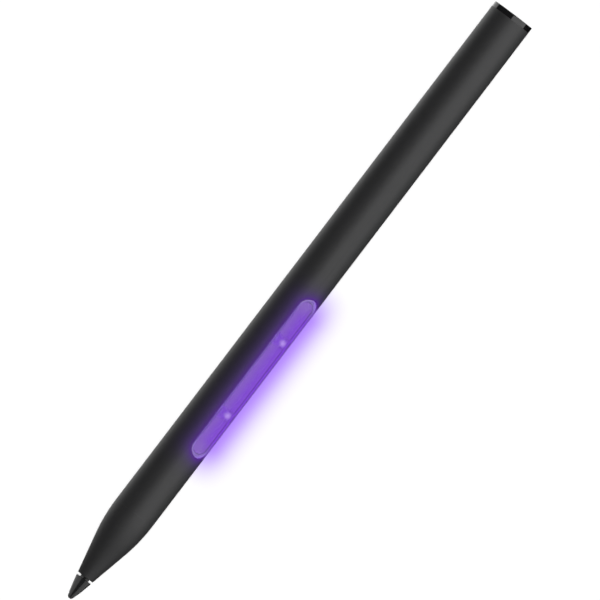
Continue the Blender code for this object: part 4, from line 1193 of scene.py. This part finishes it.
hole = port_outline(PORT_SHEET + FIT)
wide_hole = port_outline(PORT_SHEET + 2 * FIT)
hole_rings = [at(hole, cap_low.x - CUT_SPARE), at(hole, PEN_END - FIT)]
hole_rings += [at(wide_hole, PEN_END + JUST_PAST), at(wide_hole, PEN_END + CUT_SPARE)]
spigot = bore - FIT
plate_back = [(cap_low.x, 0), (cap_low.x, spigot), (CAP_FACE, spigot), (CAP_FACE, RADIUS)]
plate_front = eased([(CAP_FACE, RADIUS), (PEN_END, RADIUS), (PEN_END, 0)], CAP_EASE)
plate = turned(plate_back + plate_front[1:])
plate = combine(plate, "DIFFERENCE", [loft(hole_rings), side_relief(1), side_relief(-1)])
cap_look = {"cell": 0.3, "roughness": 0.035, "swing": 0.01, "depth": 0.0002 * MM}
cap_finish = grained("cap_polished_black", CAP_DARK, CAP_LIGHT, **cap_look)[0]
add_piece("end_plate", plate, cap_finish, "end_cap")

# %% [markdown]
# ## The charging socket
#
# In the plate's face sits a small keyed socket: a folded sheet shell round a plastic tongue. The shell could
# be the outline made thick by a modifier, but its mouth is rolled like real sheet. So it is a loft, in which
# each point of the sheet's cross-section becomes a ring of the keyed outline.

# %% Build the socket's shell and tongue
MOUTH_EASE = 0.08 * MM
BLADE_HALF_WIDTH = 1.85 * MM
BLADE_HALF_THICKNESS = 0.3 * MM
BLADE_EASE = 0.08 * MM
BASE_LENGTH = 1.6 * MM
TIP_CHAMFER = 0.2 * MM
TIP_FLATNESS = 0.6  # the chamfer's depth on the broad faces, as a share of that at the sides
SHEET_DARK = (0.5, 0.5, 0.52)
SHEET_LIGHT = (0.62, 0.62, 0.64)
TONGUE_DARK = (0.014, 0.014, 0.015)
TONGUE_LIGHT = (0.022, 0.022, 0.024)
tongue_low, tongue_high = pen_box("port_tongue")


def blade_ring(x, set_in):
    """The tongue's cross-section, a flat bar with eased corners."""
    half = BLADE_HALF_WIDTH - set_in
    thick = BLADE_HALF_THICKNESS - set_in * TIP_FLATNESS
    corners = [(half, thick), (-half, thick), (-half, -thick), (half, -thick)]
    return at(eased(corners, BLADE_EASE, loop=True), x)


sheet_section = eased(bar_section(0, PORT_SHEET, shell_low.x, shell_high.x)[::-1], MOUTH_EASE, loop=True)
sheet = loft([at(port_outline(grown), x) for grown, x in sheet_section], True)
sheet_look = {"cell": 0.06, "roughness": 0.28, "swing": 0.06, "depth": 0.001 * MM, "metallic": 1.0}
sheet_finish = grained("socket_sheet_steel", SHEET_DARK, SHEET_LIGHT, **sheet_look)[0]
add_piece("socket_shell", sheet, sheet_finish, "port_shell")

blade_ends = [
    (tongue_low.x + BASE_LENGTH / 2, 0),
    (tongue_high.x - TIP_CHAMFER, 0),
    (tongue_high.x, TIP_CHAMFER),
]
blade = loft([blade_ring(x, set_in) for x, set_in in blade_ends])
base = loft([at(port_outline(-FIT), tongue_low.x), at(port_outline(-FIT), tongue_low.x + BASE_LENGTH)])
tongue_look = {"cell": 0.1, "roughness": 0.4, "swing": 0.05, "depth": 0.002 * MM}
tongue_finish = grained("tongue_black_plastic", TONGUE_DARK, TONGUE_LIGHT, **tongue_look)[0]
add_piece("socket_tongue", combine(base, "UNION", [blade]), tongue_finish, "port_tongue")

# %% [markdown]
# ### The contacts
#
# Gold strips lie in both faces of the tongue, sunk by half their thickness. They could be painted on, but a
# strip with broken edges catches the light. A loop sets them out from the middle, and all become one piece.

# %% Build the contacts
CONTACTS = 5
CONTACT_PITCH = 0.66 * MM
CONTACT_WIDTH = 0.36 * MM
CONTACT_SUNK = 0.03 * MM
CONTACT_BREAK = 0.02 * MM
GOLD_DARK = (0.75, 0.52, 0.2)
GOLD_LIGHT = (0.85, 0.62, 0.28)


def contact_strip(y, face):
    """One gold strip, laid into the tongue's upper or lower face."""
    start = tongue_low.x + BASE_LENGTH
    end = tongue_high.x - 2 * TIP_CHAMFER
    size = (end - start, CONTACT_WIDTH, 2 * CONTACT_SUNK)
    bm = block(((start + end) / 2, y, face * BLADE_HALF_THICKNESS), size)
    bmesh.ops.bevel(bm, geom=bm.edges, offset=CONTACT_BREAK, segments=2, affect="EDGES", profile=0.5)
    return bm


def joined(parts):
    """Several separate skins in one mesh."""
    whole = bmesh.new()
    for part in parts:
        mesh = to_mesh("scratch", part)
        whole.from_mesh(mesh)
        bpy.data.meshes.remove(mesh)
    return whole


middle = (CONTACTS - 1) / 2
strips = [contact_strip((k - middle) * CONTACT_PITCH, face) for k in range(CONTACTS) for face in (1, -1)]
gold_look = {"cell": 0.08, "roughness": 0.25, "swing": 0.06, "depth": 0.001 * MM, "metallic": 1.0}
add_piece("socket_contacts", joined(strips), grained("contact_gold", GOLD_DARK, GOLD_LIGHT, **gold_look)[0])

# %% [markdown]
# ## The return spring
#
# Behind the plunger's flange a small coil pushes the nib forward. It gets shorter when the nib is pressed, so it
# can't ride on one body and keep its shape. Here the coil is swept as a mesh, rides on the pen's body and gets a
# mesh of its own.

# %% Build the spring
TURNS = 4
WIRE_SIDES = 14
STEPS_PER_TURN = 48
WIRE = 0.28 * MM
SPRING_DARK = (0.5, 0.5, 0.52)
SPRING_LIGHT = (0.66, 0.66, 0.68)
spring_low, spring_high = pen_box("return_spring")
COIL_RADIUS = spring_high.y - WIRE / 2


def coil_ring(turn, start, pitch):
    """The wire's cross-section at this many turns along the coil."""
    angle = math.tau * turn
    out = Vector((0, math.cos(angle), math.sin(angle)))
    round_way = Vector((0, -math.sin(angle), math.cos(angle)))
    forward = (ALONG * pitch / math.tau + round_way * COIL_RADIUS).normalized()
    side = forward.cross(out)
    centre = Vector((start + pitch * turn, 0, 0)) + out * COIL_RADIUS
    spokes = [math.tau * k / WIRE_SIDES for k in range(WIRE_SIDES)]
    return [centre + (out * math.cos(s) + side * math.sin(s)) * WIRE / 2 for s in spokes]


spring_length = spring_high.x - spring_low.x
coil_start = spring_low.x + WIRE / 2
coil_pitch = (spring_length - WIRE) / TURNS
count = TURNS * STEPS_PER_TURN
coil = loft([coil_ring(k / STEPS_PER_TURN, coil_start, coil_pitch) for k in range(count + 1)])
spring_look = {"cell": 0.05, "roughness": 0.25, "swing": 0.06, "depth": 0.001 * MM, "metallic": 1.0}
spring_finish = grained("spring_drawn_steel", SPRING_DARK, SPRING_LIGHT, **spring_look)[0]
spring = add_piece("spring_coil", coil, spring_finish, "return_spring")
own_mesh(spring)

# %% [markdown]
# ## Finishes for the pieces inside
#
# The pieces that stay as the frame made them still get finishes of their own, since the nib pulls out and the
# shells come off on a bench. One table gives each its tone, grain and gloss: turned metal has marks that
# run round it, film is smooth, foam is coarse and deep. The white board under the lamps can be seen through
# the lens, so it glows like the tray.

# %% Dress the inner pieces
ROUND_MARKS = (4, 0.3, 0.3)  # marks from a lathe
LONG_MARKS = (0.4, 3, 3)  # marks from drawing
INNER_FINISHES = {  # dark and light tone, cell in mm, roughness and its swing, depth, metallic, stretch
    "brass": ((0.60, 0.42, 0.16), (0.74, 0.56, 0.26), 0.05, 0.26, 0.06, 0.002 * MM, 1.0, ROUND_MARKS),
    "steel": ((0.48, 0.48, 0.50), (0.64, 0.64, 0.66), 0.05, 0.30, 0.07, 0.002 * MM, 1.0, LONG_MARKS),
    "bush_white": ((0.68, 0.68, 0.65), (0.76, 0.76, 0.73), 0.20, 0.42, 0.05, 0.003 * MM),
    "copper": ((0.60, 0.27, 0.14), (0.74, 0.38, 0.22), 0.06, 0.28, 0.06, 0.002 * MM, 1.0, ROUND_MARKS),
    "carrier_grey": ((0.09, 0.09, 0.10), (0.13, 0.13, 0.14), 0.12, 0.55, 0.06, 0.006 * MM),
    "sensor_pale": ((0.62, 0.62, 0.58), (0.72, 0.72, 0.70), 0.08, 0.55, 0.05, 0.004 * MM),
    "rubber_grey": ((0.07, 0.07, 0.07), (0.11, 0.11, 0.11), 0.15, 0.80, 0.05, 0.008 * MM),
    "flex_amber": ((0.38, 0.15, 0.02), (0.52, 0.24, 0.04), 0.30, 0.28, 0.05, 0.002 * MM, 0.0, (0.1, 3, 3)),
    "board_green": ((0.012, 0.11, 0.04), (0.03, 0.19, 0.08), 0.35, 0.38, 0.06, 0.006 * MM),
    "chip_black": ((0.014, 0.014, 0.015), (0.026, 0.026, 0.027), 0.07, 0.40, 0.06, 0.004 * MM),
    "ferrite_grey": ((0.05, 0.05, 0.055), (0.09, 0.09, 0.095), 0.10, 0.62, 0.06, 0.006 * MM),
    "cell_blue": ((0.035, 0.11, 0.32), (0.06, 0.18, 0.45), 0.80, 0.32, 0.05, 0.006 * MM, 0.0, (0.3, 1, 1)),
    "foam_black": ((0.018, 0.018, 0.018), (0.045, 0.045, 0.045), 0.18, 0.92, 0.04, 0.05 * MM),
}
inner_materials = {"board_white": glowing("inner_board_white", VIOLET, VIOLET, VIOLET, roughness=0.4)[0]}
for slot, settings in INNER_FINISHES.items():
    inner_materials[slot] = grained("inner_" + slot, *settings)[0]
dressed = 0
for name, obj in frame["nodes"].items():
    if not obj.hide_render:
        obj.data.materials.clear()
        obj.data.materials.append(inner_materials[SLOT_OF[name]])
        dressed += 1
print(f"dressed {dressed} pieces inside the pen")

# %% [markdown]
# ## The camera
#
# The photograph looks straight down on the pen, with no visible perspective, so the camera hangs far above it
# with a very long lens. An orthographic camera would do the same for this picture, but a long lens also
# suits close views from other sides. The pen runs up to the right, so the camera is rolled and not the pen.

# %% Place the camera
PEN_SLANT = math.radians(52.7)
PICTURE_WIDTH = 125.0 * MM
PICTURE_CENTRE = (2.15 * MM, -0.60 * MM)
LENS_LENGTH = 1000.0
SENSOR = 36.0
camera = place_object("camera", bpy.data.cameras.new("camera"))
camera.data.lens = LENS_LENGTH
camera.data.sensor_width = SENSOR
height = PICTURE_WIDTH * LENS_LENGTH / SENSOR
camera.location = (*PICTURE_CENTRE, RADIUS + height)
camera.rotation_euler = (0, 0, -PEN_SLANT)
scene.camera = camera
print(f"camera {height:.2f} m above the pen")

# %% [markdown]
# ## The table
#
# The table is a plain white sheet. Beside the window it takes on the lamp's violet. Added light can't show on
# white that is already at its brightest, so the halo is a tint in the sheet: two soft steps, one along the
# pen between the window's ends and one away from the pen.

# %% Lay the table
TABLE_HALF = 4.0
TABLE_WHITE = (0.93, 0.93, 0.93)
HALO = (0.265, 0.0, 0.93)
HALO_SHARE = 0.74
HALO_END = 5.2 * MM
HALO_PAST = 0.85 * MM
HALO_WIDE = 4.15 * MM
HALO_START = 0.96 * RADIUS


def table_finish():
    """White, with the lamp's violet light painted in as a tint on the lamp's side of the pen."""
    material, tree, shader = new_finish("table_white", roughness=0.9)
    x, y = split(tree, object_point(tree))[:2]
    middle = CAD_LOW.x + WINDOW_CENTRE
    front = middle - WINDOW_HALF_LENGTH - HALO_PAST
    rear = middle + WINDOW_HALF_LENGTH + HALO_PAST
    behind_front = fade(tree, x, front - HALO_END, front + HALO_END)
    before_rear = fade(tree, x, rear - HALO_END, rear + HALO_END, 1.0, 0.0)
    widths = math_node(tree, "MULTIPLY_ADD", y, -1 / HALO_WIDE, -HALO_START / HALO_WIDE)
    widths = math_node(tree, "MAXIMUM", widths, 0.0)
    away = math_node(tree, "EXPONENT", product(tree, widths, widths, -1.0))
    this_side = fade(tree, y, 0.0, RADIUS / 2, 1.0, 0.0)
    share = product(tree, behind_front, before_rear, away, HALO_SHARE, this_side)
    feed(tree, shader, Base_Color=mix_colour(tree, share, TABLE_WHITE, HALO), Specular_IOR_Level=0.0)
    return material


sheet_bm = bmesh.new()
bmesh.ops.create_grid(sheet_bm, x_segments=1, y_segments=1, size=TABLE_HALF)
table = place_object("table", bpy.data.meshes.new("table"))
sheet_bm.to_mesh(table.data)
sheet_bm.free()
table.data.materials.append(table_finish())
table.visible_glossy = False
table.visible_transmission = False
print(f"table {2 * TABLE_HALF:.0f} m wide, its halo {HALO_WIDE / MM:.2f} mm deep")

# %% [markdown]
# ## The cards
#
# Black gloss shows nothing but what it mirrors, so a black pen is lit with cards, and all else stays dark.
# The polished end plate shows their edges, and the matte barrel blurs them into bands. A studio would stand
# up white boards; here each card is a bent strip that shines by itself and is seen only in reflections.

# %% Write the helpers that hang a card
CARD_FRONT = -0.28
CARD_REAR = 1.5
CARD_STEPS = 24


def card_finish(name, strength):
    """A light that hides nothing behind it. The strength is a number, or a function that makes nodes."""
    material = bpy.data.materials.new(name)
    material.use_nodes = True
    tree = material.node_tree
    tree.nodes.clear()
    glow = add(tree, "Emission", {"Strength": strength(tree) if callable(strength) else strength})
    both = add(tree, "AddShader", {0: glow, 1: add(tree, "BsdfTransparent")})
    tree.links.new(both, tree.nodes.new("ShaderNodeOutputMaterial").inputs["Surface"])
    return material


def reflection_card(name, distance, start, end, strength, front=CARD_FRONT):
    """A bent card round the pen, between two angles from straight up; angles below 0 are behind the pen."""
    rows = []
    bm = bmesh.new()
    for step in range(CARD_STEPS + 1):
        angle = math.radians(start + (end - start) * step / CARD_STEPS)
        y = -distance * math.sin(angle)
        z = RADIUS + distance * math.cos(angle)
        rows.append([bm.verts.new((x, y, z)) for x in (front, CARD_REAR)])
    for here, there in zip(rows, rows[1:]):
        bm.faces.new((here[0], here[1], there[1], there[0]))
    card = place_object(name, bpy.data.meshes.new(name))
    bm.to_mesh(card.data)
    bm.free()
    card.data.materials.append(card_finish(name, strength))
    card.visible_camera = False
    card.visible_diffuse = False
    card.visible_transmission = False
    card.visible_shadow = False
    print(f"{name}: {start} to {end} degrees, {distance} m away")
    return card


def light_only(emitter, pieces):
    """Lets a card or a lamp light these pieces and nothing else."""
    receivers = bpy.data.collections.new(emitter.name + "_receivers")
    for name in pieces:
        receivers.objects.link(bpy.data.objects[name])
    emitter.light_linking.receiver_collection = receivers
    return receivers


def light_all_but(emitter, pieces):
    """Lets a card or a lamp light everything except these pieces."""
    for member in light_only(emitter, pieces).collection_objects:
        member.light_linking.link_state = "EXCLUDE"


print(f"cards reach from {CARD_FRONT} m to {CARD_REAR} m along the pen")

# %% [markdown]
# ### Where the cards hang
#
# A wide bright card stands on the lamp's side, with a dim one below it that keeps the barrel's under side
# from going black. A narrow card lies close along the other side and makes the thin light rim there. Its
# light rises slowly towards the pen's end and drops over the nose. The nib has two cards of its own, since
# it is glossier and steeper than the shells. One ring light could do for all, but then no piece's tone could
# be set without changing the others.

# %% Hang the cards
SIDE_FRONT = -0.1
SIDE_MIDDLE = 1.16
SIDE_END = 1.48
SIDE_FADE = (-77 * MM, -54 * MM)  # along the frame's x, from the nib to the barrel
SIDE_TIP_SHARE = 0.22
NIB_CARD_FRONT = -CARD_REAR


def dimmed(tree):
    """The side card's light: it rises slowly along the barrel and drops over the nose."""
    x = split(tree, object_point(tree))[0]
    along = ramp(tree, x, CAD_LOW.x + NOSE_REAR, CAD_HIGH.x, SIDE_MIDDLE, SIDE_END)
    return product(tree, along, fade(tree, x, *SIDE_FADE, SIDE_TIP_SHARE, 1.0))


wide_card = reflection_card("wide_card", distance=0.8, start=3, end=87, strength=2.0)
low_card = reflection_card("low_card", distance=0.8, start=87, end=128, strength=0.32)
side_card = reflection_card(
    "side_card", distance=0.02, start=-93, end=-178, strength=dimmed, front=SIDE_FRONT
)
nib_cards = [
    reflection_card("nib_card_near", distance=0.5, start=36, end=118, strength=1.02, front=NIB_CARD_FRONT),
    reflection_card("nib_card_far", distance=0.5, start=-30, end=-150, strength=1.0, front=NIB_CARD_FRONT),
]
light_all_but(wide_card, ["nib_point"])
light_only(low_card, ["barrel_shell", "nose_shell"])
light_all_but(side_card, ["nib_point", "lens_crown"])
for nib_card in nib_cards:
    light_only(nib_card, ["nib_point"])

# %% [markdown]
# ## The light from above
#
# The table has to be evenly white. A broad lamp straight above lights it, and its shadow falls where the pen
# hides it. A second one casts no shadow and only lifts the tones, and it leaves out the pieces that glow by
# themselves. A bright sky could do both, but it would light the pen from every side, so it stays dim.

# %% Hang the studio lamps and finish the studio
LAMP_ANGLE = math.radians(5)
SKY_STRENGTH = 0.12
LIT_FROM_INSIDE = ["lens_crown", "lens_bond", "lens_seal", "reflector_tray"]
LIT_FROM_INSIDE += ["lamp_front", "lamp_rear", "lamp_board"]


def overhead(name, energy, casts_shadow):
    """Even light from straight above, which no gloss or glass shows."""
    lamp = place_object(name, bpy.data.lights.new(name, "SUN"))
    lamp.data.energy = energy
    lamp.data.angle = LAMP_ANGLE
    lamp.data.use_shadow = casts_shadow
    lamp.visible_glossy = False
    lamp.visible_transmission = False
    return lamp


overhead("key", energy=1.34, casts_shadow=True)
light_all_but(overhead("fill", energy=1.8, casts_shadow=False), LIT_FROM_INSIDE)
world = bpy.data.worlds.new("studio")
scene.world = world
world.use_nodes = True
background = world.node_tree.nodes["Background"]
background.inputs["Color"].default_value = (1, 1, 1, 1)
background.inputs["Strength"].default_value = SKY_STRENGTH
world.cycles_visibility.glossy = False
world.cycles_visibility.transmission = False
scene.view_settings.view_transform = "Standard"
print("studio: two overhead lamps and five cards")
